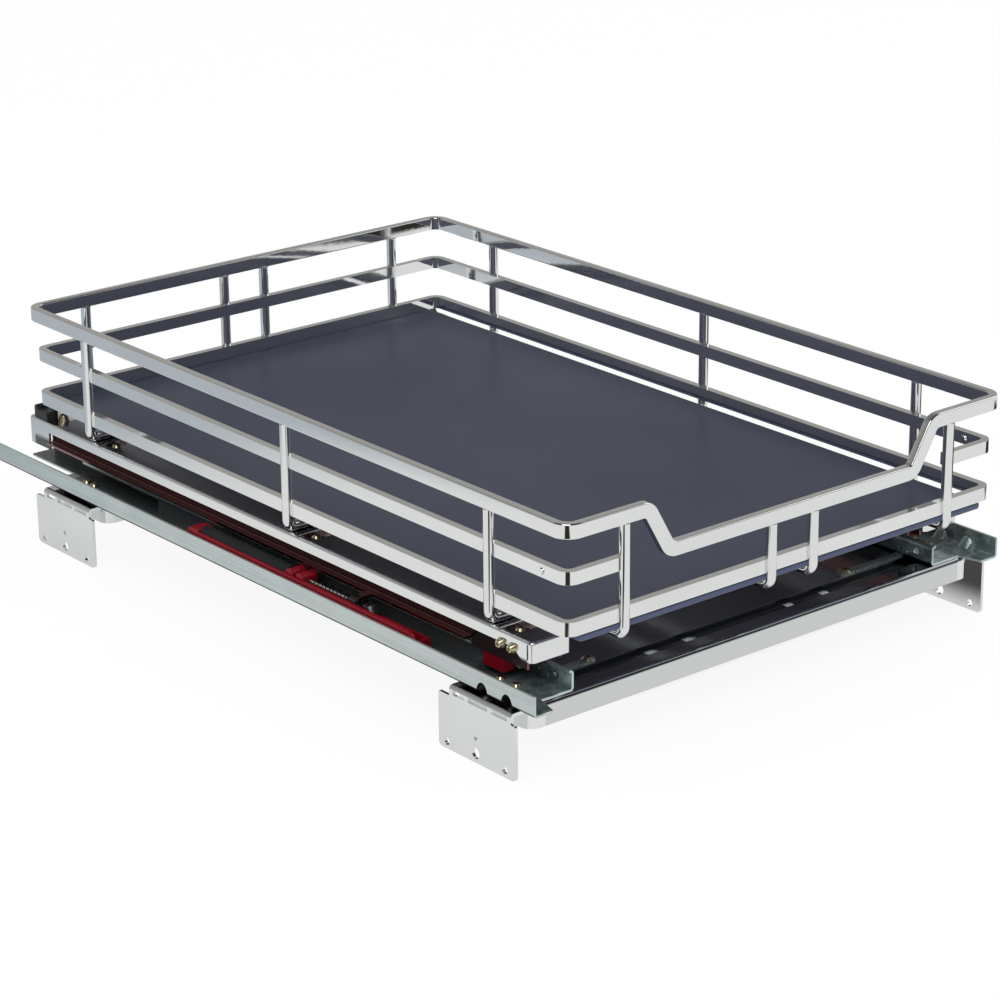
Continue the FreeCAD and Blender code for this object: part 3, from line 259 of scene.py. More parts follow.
def new_group(name, inputs, outputs):
    tree = bpy.data.node_groups.new(name, "ShaderNodeTree")
    for label, kind, value in inputs:
        socket = tree.interface.new_socket(name=label, in_out="INPUT", socket_type=kind)
        if value is not None:
            socket.default_value = value
    for label, kind in outputs:
        tree.interface.new_socket(name=label, in_out="OUTPUT", socket_type=kind)
    return tree, tree.nodes.new("NodeGroupInput"), tree.nodes.new("NodeGroupOutput")


def drawn_lines_group():
    # Fine lines left along one axis by rolling or drawing, as a value about one half.
    tree, given, out = new_group(
        "drawn lines",
        [("Stretch", "NodeSocketVector", (900.0, 5.0, 900.0)), ("Detail", "NodeSocketFloat", 4.0)],
        [("Value", "NodeSocketFloat")])
    place = tree.nodes.new("ShaderNodeTexCoord")
    scale = tree.nodes.new("ShaderNodeVectorMath")
    scale.operation = "MULTIPLY"
    noise = tree.nodes.new("ShaderNodeTexNoise")
    noise.inputs["Scale"].default_value = 1.0
    noise.inputs["Roughness"].default_value = 0.6
    tree.links.new(place.outputs["Object"], scale.inputs[0])
    tree.links.new(given.outputs["Stretch"], scale.inputs[1])
    tree.links.new(given.outputs["Detail"], noise.inputs["Detail"])
    tree.links.new(scale.outputs["Vector"], noise.inputs["Vector"])
    tree.links.new(noise.outputs["Fac"], out.inputs["Value"])
    return tree


def patches_group():
    # Soft uneven patches, such as handling marks or a cloudy coat.
    tree, given, out = new_group(
        "patches",
        [("Size", "NodeSocketFloat", 0.02), ("Low", "NodeSocketFloat", 0.0),
         ("High", "NodeSocketFloat", 1.0)],
        [("Value", "NodeSocketFloat")])
    place = tree.nodes.new("ShaderNodeTexCoord")
    per_metre = tree.nodes.new("ShaderNodeMath")
    per_metre.operation = "DIVIDE"
    per_metre.inputs[0].default_value = 1.0
    noise = tree.nodes.new("ShaderNodeTexNoise")
    noise.inputs["Detail"].default_value = 5.0
    spread = tree.nodes.new("ShaderNodeMapRange")
    spread.inputs["From Min"].default_value = 0.3
    spread.inputs["From Max"].default_value = 0.7
    tree.links.new(given.outputs["Size"], per_metre.inputs[1])
    tree.links.new(place.outputs["Object"], noise.inputs["Vector"])
    tree.links.new(per_metre.outputs["Value"], noise.inputs["Scale"])
    tree.links.new(noise.outputs["Fac"], spread.inputs["Value"])
    tree.links.new(given.outputs["Low"], spread.inputs["To Min"])
    tree.links.new(given.outputs["High"], spread.inputs["To Max"])
    tree.links.new(spread.outputs["Result"], out.inputs["Value"])
    return tree


def grain_group():
    # Fine moulding or coating grain as a height.
    tree, given, out = new_group(
        "grain", [("Size", "NodeSocketFloat", 0.0006)], [("Height", "NodeSocketFloat")])
    place = tree.nodes.new("ShaderNodeTexCoord")
    per_metre = tree.nodes.new("ShaderNodeMath")
    per_metre.operation = "DIVIDE"
    per_metre.inputs[0].default_value = 1.0
    noise = tree.nodes.new("ShaderNodeTexNoise")
    noise.inputs["Detail"].default_value = 3.0
    tree.links.new(given.outputs["Size"], per_metre.inputs[1])
    tree.links.new(place.outputs["Object"], noise.inputs["Vector"])
    tree.links.new(per_metre.outputs["Value"], noise.inputs["Scale"])
    tree.links.new(noise.outputs["Fac"], out.inputs["Height"])
    return tree


def effect(material, group, **values):
    node = material.node_tree.nodes.new("ShaderNodeGroup")
    node.node_tree = bpy.data.node_groups[group]
    for label, value in values.items():
        node.inputs[label].default_value = value
    return node


def plain_material(name, colour, roughness, metallic=0.0):
    material = bpy.data.materials.new(name)
    material.use_nodes = True
    shader = material.node_tree.nodes["Principled BSDF"]
    shader.inputs["Base Color"].default_value = (*colour, 1.0)
    shader.inputs["Roughness"].default_value = roughness
    shader.inputs["Metallic"].default_value = metallic
    return material, shader


def spread_value(material, value):
    # Widens the middle half of a noise to the range from 0 to 1.
    node = material.node_tree.nodes.new("ShaderNodeMapRange")
    node.inputs["From Min"].default_value = 0.25
    node.inputs["From Max"].default_value = 0.75
    material.node_tree.links.new(value, node.inputs["Value"])
    return node.outputs["Result"]


def raise_surface(material, shader, height, depth, strength):
    bump = material.node_tree.nodes.new("ShaderNodeBump")
    bump.inputs["Distance"].default_value = depth
    bump.inputs["Strength"].default_value = strength
    material.node_tree.links.new(height, bump.inputs["Height"])
    material.node_tree.links.new(bump.outputs["Normal"], shader.inputs["Normal"])


def darker(colour, share):
    return tuple(c * share for c in colour)


def sum_of(tree, operation, first, second=0.0):
    # Result of one sum, whose terms are sockets or numbers.
    node = tree.nodes.new("ShaderNodeMath")
    node.operation = operation
    for socket, term in zip(node.inputs, (first, second)):
        if isinstance(term, (int, float)):
            socket.default_value = term
        else:
            tree.links.new(term, socket)
    return node.outputs["Value"]


def smooth_rise(tree, value, start, end):
    # 0 before start and 1 past end.
    node = tree.nodes.new("ShaderNodeMapRange")
    node.interpolation_type = "SMOOTHSTEP"
    node.inputs["From Min"].default_value = start
    node.inputs["From Max"].default_value = end
    tree.links.new(value, node.inputs["Value"])
    return node.outputs["Result"]


def within(tree, value, low, high, blur):
    # 1 between two places along one axis, and 0 outside.
    return sum_of(tree, "MULTIPLY", smooth_rise(tree, value, low - blur, low + blur),
                  smooth_rise(tree, value, high + blur, high - blur))


def along_direction(tree, x, y, direction):
    # How far a place lies along a slanted direction.
    return sum_of(tree, "ADD", sum_of(tree, "MULTIPLY", x, direction[0]),
                  sum_of(tree, "MULTIPLY", y, direction[1]))


def colour_between(tree, share, low, high):
    node = tree.nodes.new("ShaderNodeMix")
    node.data_type = "RGBA"
    for socket, colour in ((node.inputs[6], low), (node.inputs[7], high)):
        if isinstance(colour, tuple):
            socket.default_value = (*colour, 1.0)
        else:
            tree.links.new(colour, socket)
    tree.links.new(share, node.inputs[0])
    return node.outputs[2]


def split_place(tree, kind):
    place = tree.nodes.new("ShaderNodeTexCoord")
    split = tree.nodes.new("ShaderNodeSeparateXYZ")
    tree.links.new(place.outputs[kind], split.inputs["Vector"])
    return split.outputs["X"], split.outputs["Y"], split.outputs["Z"]


def split_normal(tree):
    surface = tree.nodes.new("ShaderNodeNewGeometry")
    split = tree.nodes.new("ShaderNodeSeparateXYZ")
    tree.links.new(surface.outputs["Normal"], split.inputs["Vector"])
    return split.outputs["X"], split.outputs["Y"], split.outputs["Z"]


# Materials

def worn_chrome_with_painted_shade(colour):
    # Chrome whose upper faces are less polished than its front, with painted shade on the plate
    # behind its front face.
    material, shader = plain_material("crossmember chrome", colour, 0.06, 1.0)
    tree = material.node_tree
    upper = smooth_rise(tree, split_normal(tree)[2], 0.7, 0.95)
    tree.links.new(sum_of(tree, "ADD", sum_of(tree, "MULTIPLY", upper, 0.11), 0.05),
                   shader.inputs["Roughness"])
    # The plate behind the front face is darker with painted shade, and its grooves are darker
    # still with deeper painted shade.
    x, y, z = split_place(tree, "Object")
    inner = sum_of(tree, "MULTIPLY", within(tree, y, *FRONT_PLATE, PLATE_BLUR),
                   within(tree, x, -PLATE_REACH, PLATE_REACH, SHARP_BLUR))
    groove = sum_of(tree, "MULTIPLY", inner, smooth_rise(tree, z, *GROOVE_TOP))
    tint = colour_between(tree, inner, colour, PLATE_SHADE)
    tree.links.new(colour_between(tree, groove, tint, GROOVE_SHADE), shader.inputs["Base Color"])
    return material


def chrome_plate(colour):
    material, shader = plain_material("chrome plate", colour, 0.05, 1.0)
    marks = effect(material, "patches", Size=0.03, Low=0.035, High=0.085)
    material.node_tree.links.new(marks.outputs["Value"], shader.inputs["Roughness"])
    tint = effect(material, "patches", Size=0.05)
    material.node_tree.links.new(
        colour_between(material.node_tree, tint.outputs["Value"], darker(colour, 0.95), colour),
        shader.inputs["Base Color"])
    waves = effect(material, "patches", Size=0.012)
    raise_surface(material, shader, waves.outputs["Value"], 0.0002, 0.10)
    return material


def lined_colour(material, colour, stretch, detail, low, high):
    # Colour that varies from low to high shares along drawn lines, and the lines themselves.
    lines = effect(material, "drawn lines", Stretch=stretch, Detail=detail).outputs["Value"]
    varied = colour_between(material.node_tree, spread_value(material, lines),
                            darker(colour, low), darker(colour, high))
    return varied, lines


def zinc_coat(name, colour):
    # Parts that the galvanised finishes share: drawn lines in colour and height, and a cloud.
    material, shader = plain_material(name, colour, 0.36, 0.85)
    clean, lines = lined_colour(material, colour, (700.0, 9.0, 700.0), 5.0, 0.86, 1.12)
    cloud = effect(material, "patches", Size=0.018, Low=0.30, High=0.46)
    raise_surface(material, shader, lines, 0.00008, 0.35)
    return material, shader, clean, cloud.outputs["Value"]


def galvanised_sheet(colour):
    material, shader, clean, cloud = zinc_coat("galvanised sheet", colour)
    material.node_tree.links.new(clean, shader.inputs["Base Color"])
    material.node_tree.links.new(cloud, shader.inputs["Roughness"])
    return material


def rail_with_painted_shade(colour):
    # Galvanised sheet whose channel between its walls is darkened with painted shade.
    material, shader, clean, cloud = zinc_coat("rail with painted shade", colour)
    tree = material.node_tree
    x, y, z = split_place(tree, "Object")
    across = within(tree, sum_of(tree, "ABSOLUTE", x), *RAIL_CHANNEL, SHARP_BLUR)
    deep = within(tree, z, *RAIL_DEPTH, SHARP_BLUR)
    back = smooth_rise(tree, y, *CHANNEL_SHADE_FRONT)
    channel = sum_of(tree, "MULTIPLY", across, deep)
    channel_shade = sum_of(tree, "MULTIPLY", channel, back)
    # The rails' front ends are wiped clean and shine in patches.
    shine = effect(material, "patches", Size=0.007)
    patchy = colour_between(tree, shine.outputs["Value"], *WIPED_COLOURS)
    clean = colour_between(tree, channel, clean, patchy)
    # Undersides and the backs of the guide darts are darkened with painted shade.
    below = smooth_rise(tree, split_normal(tree)[2], -0.10, -0.30)
    clean = colour_between(tree, below, clean, UNDERSIDE_SHADE)
    # Painted shade darkens the channel behind its front end, where the sheet is also less
    # metallic.
    tree.links.new(colour_between(tree, channel_shade, clean, CHANNEL_SHADE_COLOUR),
                   shader.inputs["Base Color"])
    tree.links.new(sum_of(tree, "SUBTRACT", 0.85, sum_of(tree, "MULTIPLY", channel_shade, 0.35)),
                   shader.inputs["Metallic"])
    tree.links.new(sum_of(tree, "SUBTRACT", cloud, sum_of(tree, "MULTIPLY", channel, 0.16)),
                   shader.inputs["Roughness"])
    return material


def drawn_steel_with_painted_reflection(colour):
    # Rolled steel whose dark red colour is a painted reflection of the red soft-close units, and
    # whose walls seem to lean so that they mirror the channel below them.
    material, shader = plain_material("drawn steel with painted reflection", colour, 0.2, 1.0)
    tree = material.node_tree
    varied, _ = lined_colour(material, colour, (500.0, 7.0, 500.0), 4.0, 0.8, 1.1)
    tree.links.new(varied, shader.inputs["Base Color"])
    surface = tree.nodes.new("ShaderNodeNewGeometry")
    lean = tree.nodes.new("ShaderNodeVectorMath")
    lean.operation = "ADD"
    lean.inputs[1].default_value = WALL_LEAN
    tree.links.new(surface.outputs["Normal"], lean.inputs[0])
    upright = smooth_rise(tree, sum_of(tree, "ABSOLUTE", split_normal(tree)[0]), 0.6, 0.8)
    mix = tree.nodes.new("ShaderNodeMix")
    mix.data_type = "VECTOR"
    tree.links.new(upright, mix.inputs[0])
    tree.links.new(surface.outputs["Normal"], mix.inputs[4])
    tree.links.new(lean.outputs["Vector"], mix.inputs[5])
    level = tree.nodes.new("ShaderNodeVectorMath")
    level.operation = "NORMALIZE"
    tree.links.new(mix.outputs[1], level.inputs[0])
    tree.links.new(level.outputs["Vector"], shader.inputs["Normal"])
    cloud = effect(material, "patches", Size=0.02, Low=0.14, High=0.26)
    tree.links.new(cloud.outputs["Value"], shader.inputs["Roughness"])
    return material


def tray_face(colour, edge_colour, under_colour):
    material, shader = plain_material("satin tray", colour, 0.32)
    shader.inputs["Specular Tint"].default_value = (*TRAY_SHEEN, 1.0)
    shader.inputs["Specular IOR Level"].default_value = 0.25
    cloud = effect(material, "patches", Size=0.12, Low=0.27, High=0.36)
    material.node_tree.links.new(cloud.outputs["Value"], shader.inputs["Roughness"])
    # The edge band is lighter and bluer than the face, and the underside is plain grey.
    tree = material.node_tree
    level = split_normal(tree)[2]
    band = colour_between(tree, smooth_rise(tree, level, 0.45, 0.75), edge_colour, colour)
    tree.links.new(
        colour_between(tree, smooth_rise(tree, level, -0.45, -0.75), band, under_colour),
        shader.inputs["Base Color"])
    grain = effect(material, "grain", Size=0.0009)
    raise_surface(material, shader, grain.outputs["Height"], 0.00004, 0.25)
    return material


def moulded_plastic(name, colour, roughness, gloss=0.5):
    material, shader = plain_material(name, colour, roughness)
    shader.inputs["Specular IOR Level"].default_value = gloss
    cloud = effect(material, "patches", Size=0.02)
    material.node_tree.links.new(
        colour_between(material.node_tree, cloud.outputs["Value"], darker(colour, 0.85),
                       darker(colour, 1.15)),
        shader.inputs["Base Color"])
    rough = effect(material, "patches", Size=0.01, Low=roughness - 0.05, High=roughness + 0.07)
    material.node_tree.links.new(rough.outputs["Value"], shader.inputs["Roughness"])
    grain = effect(material, "grain", Size=0.0005)
    raise_surface(material, shader, grain.outputs["Height"], 0.00005, 0.3)
    return material


def yellow_zinc(colour):
    material, shader = plain_material("yellow zinc", colour, 0.24, 1.0)
    cloud = effect(material, "patches", Size=0.004)
    material.node_tree.links.new(
        colour_between(material.node_tree, cloud.outputs["Value"], PALE_ZINC, colour),
        shader.inputs["Base Color"])
    return material


def bright_steel(name, colour):
    material, shader = plain_material(name, colour, 0.18, 1.0)
    cloud = effect(material, "patches", Size=0.006, Low=0.12, High=0.26)
    material.node_tree.links.new(cloud.outputs["Value"], shader.inputs["Roughness"])
    return material


# Stage

def basket_shade(tree, left, front):
    # 1 on the floor under the basket, from its left and front limits to its right and rear.
    x, y, _ = split_place(tree, "Object")
    side_blur, end_blur = SHADE_BLUR
    across = sum_of(tree, "MULTIPLY", smooth_rise(tree, x, left - side_blur, left + side_blur),
                    smooth_rise(tree, x, *SHADE_RIGHT))
    return sum_of(tree, "MULTIPLY", across, within(tree, y, front, SHADE_REAR, end_blur))


def mirrored_floor(tree, stage):
    # Floor of a studio set as chrome shows it: paler away from the basket, with painted shade
    # close to it, dim at its far end, dark with painted shade under the basket, and dark in
    # patches painted for dark cards beside the set.
    x, y, _ = split_place(tree, "Object")
    near = sum_of(tree, "MULTIPLY", within(tree, x, *NEAR_SIDES, NEAR_BLUR),
                  smooth_rise(tree, y, *NEAR_FRONT))
    near = sum_of(tree, "MULTIPLY", near, smooth_rise(tree, y, *NEAR_REAR))
    close = colour_between(tree, smooth_rise(tree, y, *REAR_TONE), tuple(stage.floor_near),
                           tuple(stage.floor_near_rear))
    colour = colour_between(tree, near, tuple(stage.floor_far), close)
    along = along_direction(tree, x, y, DIM_DIRECTION)
    colour = colour_between(tree, smooth_rise(tree, along, *DIM_END), colour,
                            tuple(stage.floor_dim))
    colour = colour_between(tree, basket_shade(tree, *SHADE_IN_METAL), colour,
                            tuple(stage.floor_under))
    aside = along_direction(tree, x, y, CARD_DIRECTION)
    side_blur, end_blur = CARD_BLUR
    for (sides, ends), place in ((LEFT_CARD, aside), (RIGHT_CARD, y)):
        card = sum_of(tree, "MULTIPLY", within(tree, x, *sides, side_blur),
                      within(tree, place, *ends, end_blur))
        colour = colour_between(tree, card, colour, tuple(stage.flag_colour))
    return colour


def floor_paint(stage):
    # The eye sees the floor white, less the lamps' shadow and the shade under the basket.
    material = bpy.data.materials.new("pale floor")
    material.use_nodes = True
    tree = material.node_tree
    shader = tree.nodes["Principled BSDF"]
    shader.inputs["Base Color"].default_value = (*stage.floor_colour, 1.0)
    shader.inputs["Roughness"].default_value = 0.9
    shader.inputs["Specular IOR Level"].default_value = 0.0
    white = tree.nodes.new("ShaderNodeEmission")
    in_metal = tree.nodes.new("ShaderNodeEmission")
    tree.links.new(mirrored_floor(tree, stage), in_metal.inputs["Color"])
    seen = tree.nodes.new("ShaderNodeLightPath")
    by_metal = sum_of(tree, "MAXIMUM", seen.outputs["Is Glossy Ray"],
                      seen.outputs["Is Transmission Ray"])
    shaded = sum_of(tree, "MULTIPLY", basket_shade(tree, *SHADE_TO_EYE), stage.shade_depth)
    white_part = sum_of(tree, "MULTIPLY", sum_of(tree, "SUBTRACT", 1.0, shaded),
                        stage.floor_whiteness)
    by_eye = sum_of(tree, "MULTIPLY", seen.outputs["Is Camera Ray"], white_part)
    lower = shader.outputs["BSDF"]
    for share, glow in ((by_metal, in_metal), (by_eye, white)):
        mix = tree.nodes.new("ShaderNodeMixShader")
        tree.links.new(share, mix.inputs[0])
        tree.links.new(lower, mix.inputs[1])
        tree.links.new(glow.outputs["Emission"], mix.inputs[2])
        lower = mix.outputs["Shader"]
    tree.links.new(lower, tree.nodes["Material Output"].inputs["Surface"])
    return material


def room_ramp(nodes, links, height, colours):
    # Colours of the room from the horizon up, at the heights given with them.
    ramp = nodes.new("ShaderNodeValToRGB")
    elements = ramp.color_ramp.elements
    while len(elements) < len(colours):
        elements.new(0.5)
    for element, (position, colour) in zip(elements, colours):
        element.position = position
        element.color = (*colour, 1.0)
    links.new(height, ramp.inputs["Fac"])
    return ramp.outputs["Color"]


def paint_room(stage):
    # One room lights the object, a second is what metal mirrors, and the eye sees white.
    world = bpy.data.worlds.new("studio")
    bpy.context.scene.world = world
    world.use_nodes = True
    tree = world.node_tree
    nodes = tree.nodes
    links = tree.links
    x, y, height = split_place(tree, "Generated")
    light = nodes["Background"]
    low = (stage.low_light,) * 3
    high = (stage.high_light,) * 3
    links.new(room_ramp(nodes, links, height, [(0.0, low), (0.9, high)]),
              light.inputs["Color"])
    mirrored = nodes.new("ShaderNodeBackground")
    horizon = tuple(stage.horizon_colour)
    wall = tuple(stage.wall_colour)
    ceiling = tuple(stage.ceiling_colour)
    to_front = room_ramp(nodes, links, height,
                         [(0.08, horizon), (0.28, wall), (0.38, wall), (0.50, ceiling)])
    to_rear = room_ramp(nodes, links, height,
                        [(0.02, tuple(stage.floor_dim)), (0.28, wall), (0.50, wall),
                         (0.90, ceiling)])
    # The far side of the room is lit, and the side that the camera stands on is dim.
    room = colour_between(tree, smooth_rise(tree, y, *REAR_WALL), to_front, to_rear)
    far = smooth_rise(tree, along_direction(tree, x, y, FAR_DIRECTION), *FAR_SIDE)
    share = sum_of(tree, "ADD", stage.near_side_share,
                   sum_of(tree, "MULTIPLY", far, 1.0 - stage.near_side_share))
    scaled = nodes.new("ShaderNodeVectorMath")
    scaled.operation = "SCALE"
    links.new(room, scaled.inputs[0])
    links.new(share, scaled.inputs["Scale"])
    links.new(scaled.outputs["Vector"], mirrored.inputs["Color"])
    white = nodes.new("ShaderNodeBackground")
    white.inputs["Color"].default_value = (1.0, 1.0, 1.0, 1.0)
    seen = nodes.new("ShaderNodeLightPath")
    for_mirrors = nodes.new("ShaderNodeMixShader")
    for_eye = nodes.new("ShaderNodeMixShader")
    links.new(seen.outputs["Is Glossy Ray"], for_mirrors.inputs[0])
    links.new(light.outputs["Background"], for_mirrors.inputs[1])
    links.new(mirrored.outputs["Background"], for_mirrors.inputs[2])
    links.new(seen.outputs["Is Camera Ray"], for_eye.inputs[0])
    links.new(for_mirrors.outputs["Shader"], for_eye.inputs[1])
    links.new(white.outputs["Background"], for_eye.inputs[2])
    links.new(for_eye.outputs["Shader"], nodes["World Output"].inputs["Surface"])


# Putting finishes on the solids

def nodes_starting(*starts):
    return [name for name in sorted(frame["nodes"]) if name.startswith(starts)]


def finish_nodes(names, finish):
    # Puts a material on solids that are shown as they are.
    for name in names:
        solid = frame["nodes"][name]
        if not solid.material_slots:
            raise RuntimeError(name + " has no material slot")
        for slot in solid.material_slots:
            slot.material = bpy.data.materials[finish]


def deselect_all():
    if bpy.context.object and bpy.context.object.mode != "OBJECT":
        bpy.ops.object.mode_set(mode="OBJECT")
    bpy.ops.object.select_all(action="DESELECT")


# Pieces made from the solids

def select_only(piece):
    deselect_all()
    piece.select_set(True)
    bpy.context.view_layer.objects.active = piece


def softened(node, edge, segments):
    # Copy of a solid with its sharp edges rounded off, which stands for the solid.
    solid = frame["nodes"][node]
    select_only(solid)
    bpy.ops.object.duplicate()
    piece = bpy.context.object
    piece.name = node + "_finished"
    piece.data.name = piece.name
    bpy.ops.object.mode_set(mode="EDIT")
    bpy.ops.mesh.select_all(action="SELECT")
    bpy.ops.mesh.remove_doubles(threshold=MERGE_DISTANCE)
    bpy.ops.mesh.dissolve_limited(angle_limit=FLAT_ANGLE)
    bpy.ops.mesh.normals_make_consistent(inside=False)
    bpy.ops.object.mode_set(mode="OBJECT")
    rounding = piece.modifiers.new("rounded edges", "BEVEL")
    rounding.width = edge
    rounding.segments = segments
    rounding.limit_method = "ANGLE"
    rounding.angle_limit = ROUNDED_ANGLE
    rounding.miter_outer = "MITER_ARC"
    rounding.use_clamp_overlap = True
    bpy.ops.object.modifier_apply(modifier=rounding.name)
    # Rounded corners that meet leave points on top of each other.
    bpy.ops.object.mode_set(mode="EDIT")
    bpy.ops.mesh.select_all(action="SELECT")
    bpy.ops.mesh.dissolve_degenerate(threshold=EMPTY_FACE)
    bpy.ops.object.mode_set(mode="OBJECT")
    bpy.ops.object.shade_smooth_by_angle(angle=SMOOTH_ANGLE)
    flats = piece.modifiers.new("flat faces", "WEIGHTED_NORMAL")
    flats.mode = "FACE_AREA"
    flats.weight = 100
    flats.keep_sharp = True
    bpy.ops.object.modifier_apply(modifier=flats.name)
    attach(piece, solid["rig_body"])
    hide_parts(node)
    return piece


def loose_solids(piece):
    # Corner points of each separate solid of a merged piece.
    mesh = piece.data
    owner = list(range(len(mesh.vertices)))

    def root(index):
        while owner[index] != index:
            owner[index] = owner[owner[index]]
            index = owner[index]
        return index

    for edge in mesh.edges:
        owner[root(edge.vertices[0])] = root(edge.vertices[1])
    groups = {}
    for vertex in mesh.vertices:
        groups.setdefault(root(vertex.index), []).append(vertex.co.copy())
    return list(groups.values())


def arm_of_cross(centre, axis, along, radius, depth):
    # Box for one arm of a cross recess, sunk from the head's flat top.
    bpy.ops.mesh.primitive_cube_add(size=1.0, location=centre)
    arm = bpy.context.object
    sizes = [CROSS_WIDTH * radius] * 3
    sizes[axis] = 2.0 * depth
    sizes[along] = radius
    arm.dimensions = sizes
    bpy.context.view_layer.update()
    bpy.ops.object.transform_apply(location=True, rotation=True, scale=True)
    return arm


def cut_cross_recesses(piece):
    # Cuts a cross into the top of every screw head of a piece.
    heads = []
    for points in loose_solids(piece):
        low = [min(point[i] for point in points) for i in range(3)]
        high = [max(point[i] for point in points) for i in range(3)]
        wide = [high[i] - low[i] for i in range(3)]
        axis = 0 if abs(wide[1] - wide[2]) < abs(wide[1] - wide[0]) else 2
        other = 2 - axis
        centre = Vector([(low[i] + high[i]) / 2 for i in range(3)])
        reach = []
        for end in (low[axis], high[axis]):
            near = [point for point in points if abs(point[axis] - end) < END_DEPTH]
            reach.append(max(math.hypot(point[1] - centre[1], point[other] - centre[other])
                             for point in near))
        centre[axis] = high[axis] if reach[1] > reach[0] else low[axis]
        heads.append((centre, axis, wide[1] / 2))
    for turn in (0, 1):
        arms = []
        for centre, axis, radius in heads:
            along = 1 if turn else 2 - axis
            arms.append(arm_of_cross(centre, axis, along, radius, CROSS_DEPTH * radius))
        deselect_all()
        for arm in arms:
            arm.select_set(True)
        bpy.context.view_layer.objects.active = arms[0]
        bpy.ops.object.join()
        cutter = bpy.context.object
        select_only(piece)
        cut = piece.modifiers.new("cross recess", "BOOLEAN")
        cut.operation = "DIFFERENCE"
        cut.solver = "EXACT"
        cut.object = cutter
        bpy.ops.object.modifier_apply(modifier=cut.name)
        bpy.data.objects.remove(cutter)


def finish_piece(piece, finish):
    piece.data.materials.clear()
    piece.data.materials.append(bpy.data.materials[finish])


def soften_nodes(names, edge, finish, segments=2):
    for name in names:
        finish_piece(softened(name, edge, segments), finish)


# Operators

class BASKET_OT_effects(bpy.types.Operator):
    """Makes the surface effects and the materials of the basket"""
    bl_idname = "basket.effects"
    bl_label = "Effects and materials"

    def execute(self, context):
        looks = context.scene.basket_finish
        drawn_lines_group()
        patches_group()
        grain_group()
        chrome_plate(tuple(looks.chrome_colour))
        worn_chrome_with_painted_shade(tuple(looks.chrome_colour))
        galvanised_sheet(tuple(looks.galvanised_colour))
        rail_with_painted_shade(tuple(looks.galvanised_colour))
        drawn_steel_with_painted_reflection(tuple(looks.drawn_steel_reflection_colour))
        tray_face(tuple(looks.tray_colour), tuple(looks.tray_edge_colour),
                  tuple(looks.tray_under_colour))
        moulded_plastic("red plastic", tuple(looks.red_colour), 0.34, 0.22)
        moulded_plastic("damper tube", tuple(looks.damper_colour), 0.50, 0.20)
        moulded_plastic("black plastic", tuple(looks.black_colour), 0.38)
        moulded_plastic("glossy black", tuple(looks.black_colour), 0.14, 1.0)
        moulded_plastic("cage plastic", tuple(looks.cage_colour), 0.45)
        yellow_zinc(tuple(looks.zinc_colour))
        bright_steel("bright steel", tuple(looks.steel_colour))
        bright_steel("dark spring", tuple(looks.spring_colour))
        return {"FINISHED"}


class BASKET_OT_basket(bpy.types.Operator):
    """Finishes the rings, rods, posts and tray of the basket"""
    bl_idname = "basket.basket"
    bl_label = "Basket"

    def execute(self, context):
        looks = context.scene.basket_finish
        soften_nodes(("top_ring", "middle_ring", "bottom_ring"), looks.ring_edge,
                     "chrome plate", 3)
        finish_nodes(nodes_starting("ring_rivets", "long_rod", "side_post"), "chrome plate")
        finish_nodes(["tray_panel"], "satin tray")
        return {"FINISHED"}


class BASKET_OT_slides(bpy.types.Operator):
    """Finishes the carriers, slide members, cages, rollers and buffers"""
    bl_idname = "basket.slides"
    bl_label = "Slides"

    def execute(self, context):
        looks = context.scene.basket_finish
        for starts, edge, slot, finish in (
                (("carrier_left", "carrier_right"), looks.sheet_edge, "chrome", "chrome plate"),
                (("fixed_rail",), looks.sheet_edge, "galvanised", "rail with painted shade"),
                (("drawer_member",), looks.sheet_edge, "galvanised", "drawn steel with painted reflection"),
                (("buffer",), looks.moulded_edge, "red_plastic", "red plastic"),
                (("rear_block",), looks.moulded_edge, "black_plastic", "black plastic")):
            soften_nodes(nodes_starting(*starts), edge, finish)
        finish_nodes(nodes_starting("middle_member"), "galvanised sheet")
        finish_nodes(nodes_starting("lower_cage", "upper_cage"), "cage plastic")
        finish_nodes(nodes_starting("lower_rollers", "upper_rollers"), "bright steel")
        return {"FINISHED"}


class BASKET_OT_soft_close(bpy.types.Operator):
    """Finishes the soft-close units"""
    bl_idname = "basket.soft_close"
    bl_label = "Soft-close units"

    def execute(self, context):
        edge = context.scene.basket_finish.moulded_edge
        soften_nodes(nodes_starting("soft_close_housing"), edge, "red plastic")
        soften_nodes(("catch_left", "catch_right"), edge, "glossy black")
        finish_nodes(nodes_starting("damper_cylinder"), "damper tube")
        finish_nodes(nodes_starting("damper_rod"), "bright steel")
        finish_nodes(nodes_starting("catch_spring"), "dark spring")
        return {"FINISHED"}


class BASKET_OT_base(bpy.types.Operator):
    """Finishes the crossmembers, brackets and tie straps"""
    bl_idname = "basket.base"
    bl_label = "Crossmembers and brackets"

    def execute(self, context):
        edge = context.scene.basket_finish.sheet_edge
        for start, finish in (("crossmember", "crossmember chrome"), ("bracket", "chrome plate")):
            soften_nodes(nodes_starting(start), edge, finish)
        finish_nodes(nodes_starting("tie_strap"), "galvanised sheet")
        return {"FINISHED"}


class BASKET_OT_screws(bpy.types.Operator):
    """Finishes the screws of the carriers and rails"""
    bl_idname = "basket.screws"
    bl_label = "Screws"

    def execute(self, context):
        for node in nodes_starting("carrier_screws", "rail_screws"):
            piece = softened(node, SCREW_EDGE, 2)
            cut_cross_recesses(piece)
            finish_piece(piece, "yellow zinc")
        return {"FINISHED"}


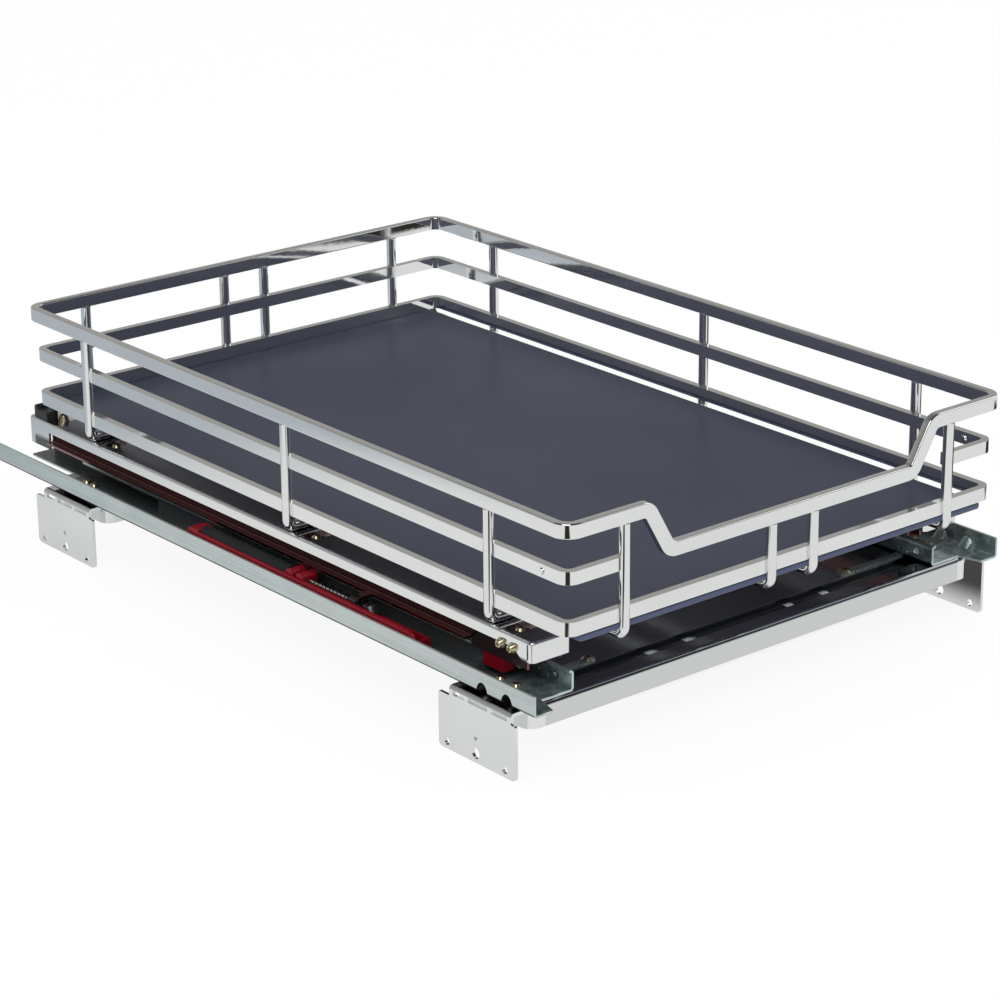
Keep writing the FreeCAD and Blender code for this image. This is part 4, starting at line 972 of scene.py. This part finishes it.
class BASKET_OT_stage(bpy.types.Operator):
    """Sets the floor, the lamps, the room and the camera"""
    bl_idname = "basket.stage"
    bl_label = "Stage"

    def lamp(self, name, place, size, power):
        bpy.ops.object.light_add(type="AREA", location=place)
        lamp = bpy.context.object
        lamp.name = name
        lamp.data.size = size
        lamp.data.energy = power
        lamp.rotation_mode = "QUATERNION"
        lamp.rotation_quaternion = (Vector(LAMP_AIM) - Vector(place)).to_track_quat("-Z", "Y")

    def camera(self, stage):
        turn = -stage.camera_turn
        height = stage.camera_height
        back = Vector((math.sin(turn) * math.cos(height), -math.cos(turn) * math.cos(height),
                       math.sin(height)))
        side = (-back).cross(Vector((0.0, 0.0, 1.0))).normalized()
        up = back.cross(side)
        roll = stage.camera_roll
        across = side * math.cos(roll) + up * math.sin(roll)
        above = up * math.cos(roll) - side * math.sin(roll)
        turn_matrix = Matrix((across, above, back)).transposed().to_4x4()
        bpy.ops.object.camera_add()
        camera = bpy.context.object
        camera.name = "camera"
        camera.matrix_world = Matrix.Translation(Vector(stage.camera_place)) @ turn_matrix
        camera.data.sensor_width = 36.0
        camera.data.lens = stage.camera_lens
        camera.data.clip_start = 0.05
        camera.data.clip_end = 60.0
        return camera

    def execute(self, context):
        stage = context.scene.basket_stage
        deselect_all()
        bpy.ops.mesh.primitive_plane_add(size=stage.floor_size, location=(0.0, 0.0, 0.0))
        floor = bpy.context.object
        floor.name = "floor"
        floor.data.materials.append(floor_paint(stage))
        paint_room(stage)
        self.lamp("key lamp", *KEY_LAMP, stage.key_power)
        self.lamp("fill lamp", *FILL_LAMP, stage.fill_power)
        context.scene.camera = self.camera(stage)
        context.scene.view_settings.view_transform = "Standard"
        return {"FINISHED"}


STEPS = (BASKET_OT_effects, BASKET_OT_basket, BASKET_OT_slides, BASKET_OT_soft_close,
         BASKET_OT_base, BASKET_OT_screws, BASKET_OT_stage)


class BASKET_PT_panel(bpy.types.Panel):
    """Lists the steps that dress the basket"""
    bl_idname = "BASKET_PT_panel"
    bl_label = "Pull-out basket"
    bl_space_type = "VIEW_3D"
    bl_region_type = "UI"
    bl_category = "Basket"

    def draw(self, context):
        for step in STEPS:
            self.layout.operator(step.bl_idname)
        for settings in (context.scene.basket_finish, context.scene.basket_stage):
            box = self.layout.box()
            for name in settings.__annotations__:
                box.prop(settings, name)


CLASSES = (StageSettings, FinishSettings, *STEPS, BASKET_PT_panel)


def register():
    for item in CLASSES:
        bpy.utils.register_class(item)
    bpy.types.Scene.basket_stage = bpy.props.PointerProperty(type=StageSettings)
    bpy.types.Scene.basket_finish = bpy.props.PointerProperty(type=FinishSettings)


def unregister():
    del bpy.types.Scene.basket_finish
    del bpy.types.Scene.basket_stage
    for item in reversed(CLASSES):
        bpy.utils.unregister_class(item)


def main():
    register()
    bpy.ops.basket.effects()
    bpy.ops.basket.basket()
    bpy.ops.basket.slides()
    bpy.ops.basket.soft_close()
    bpy.ops.basket.base()
    bpy.ops.basket.screws()
    bpy.ops.basket.stage()


if __name__ == "__main__":
    main()
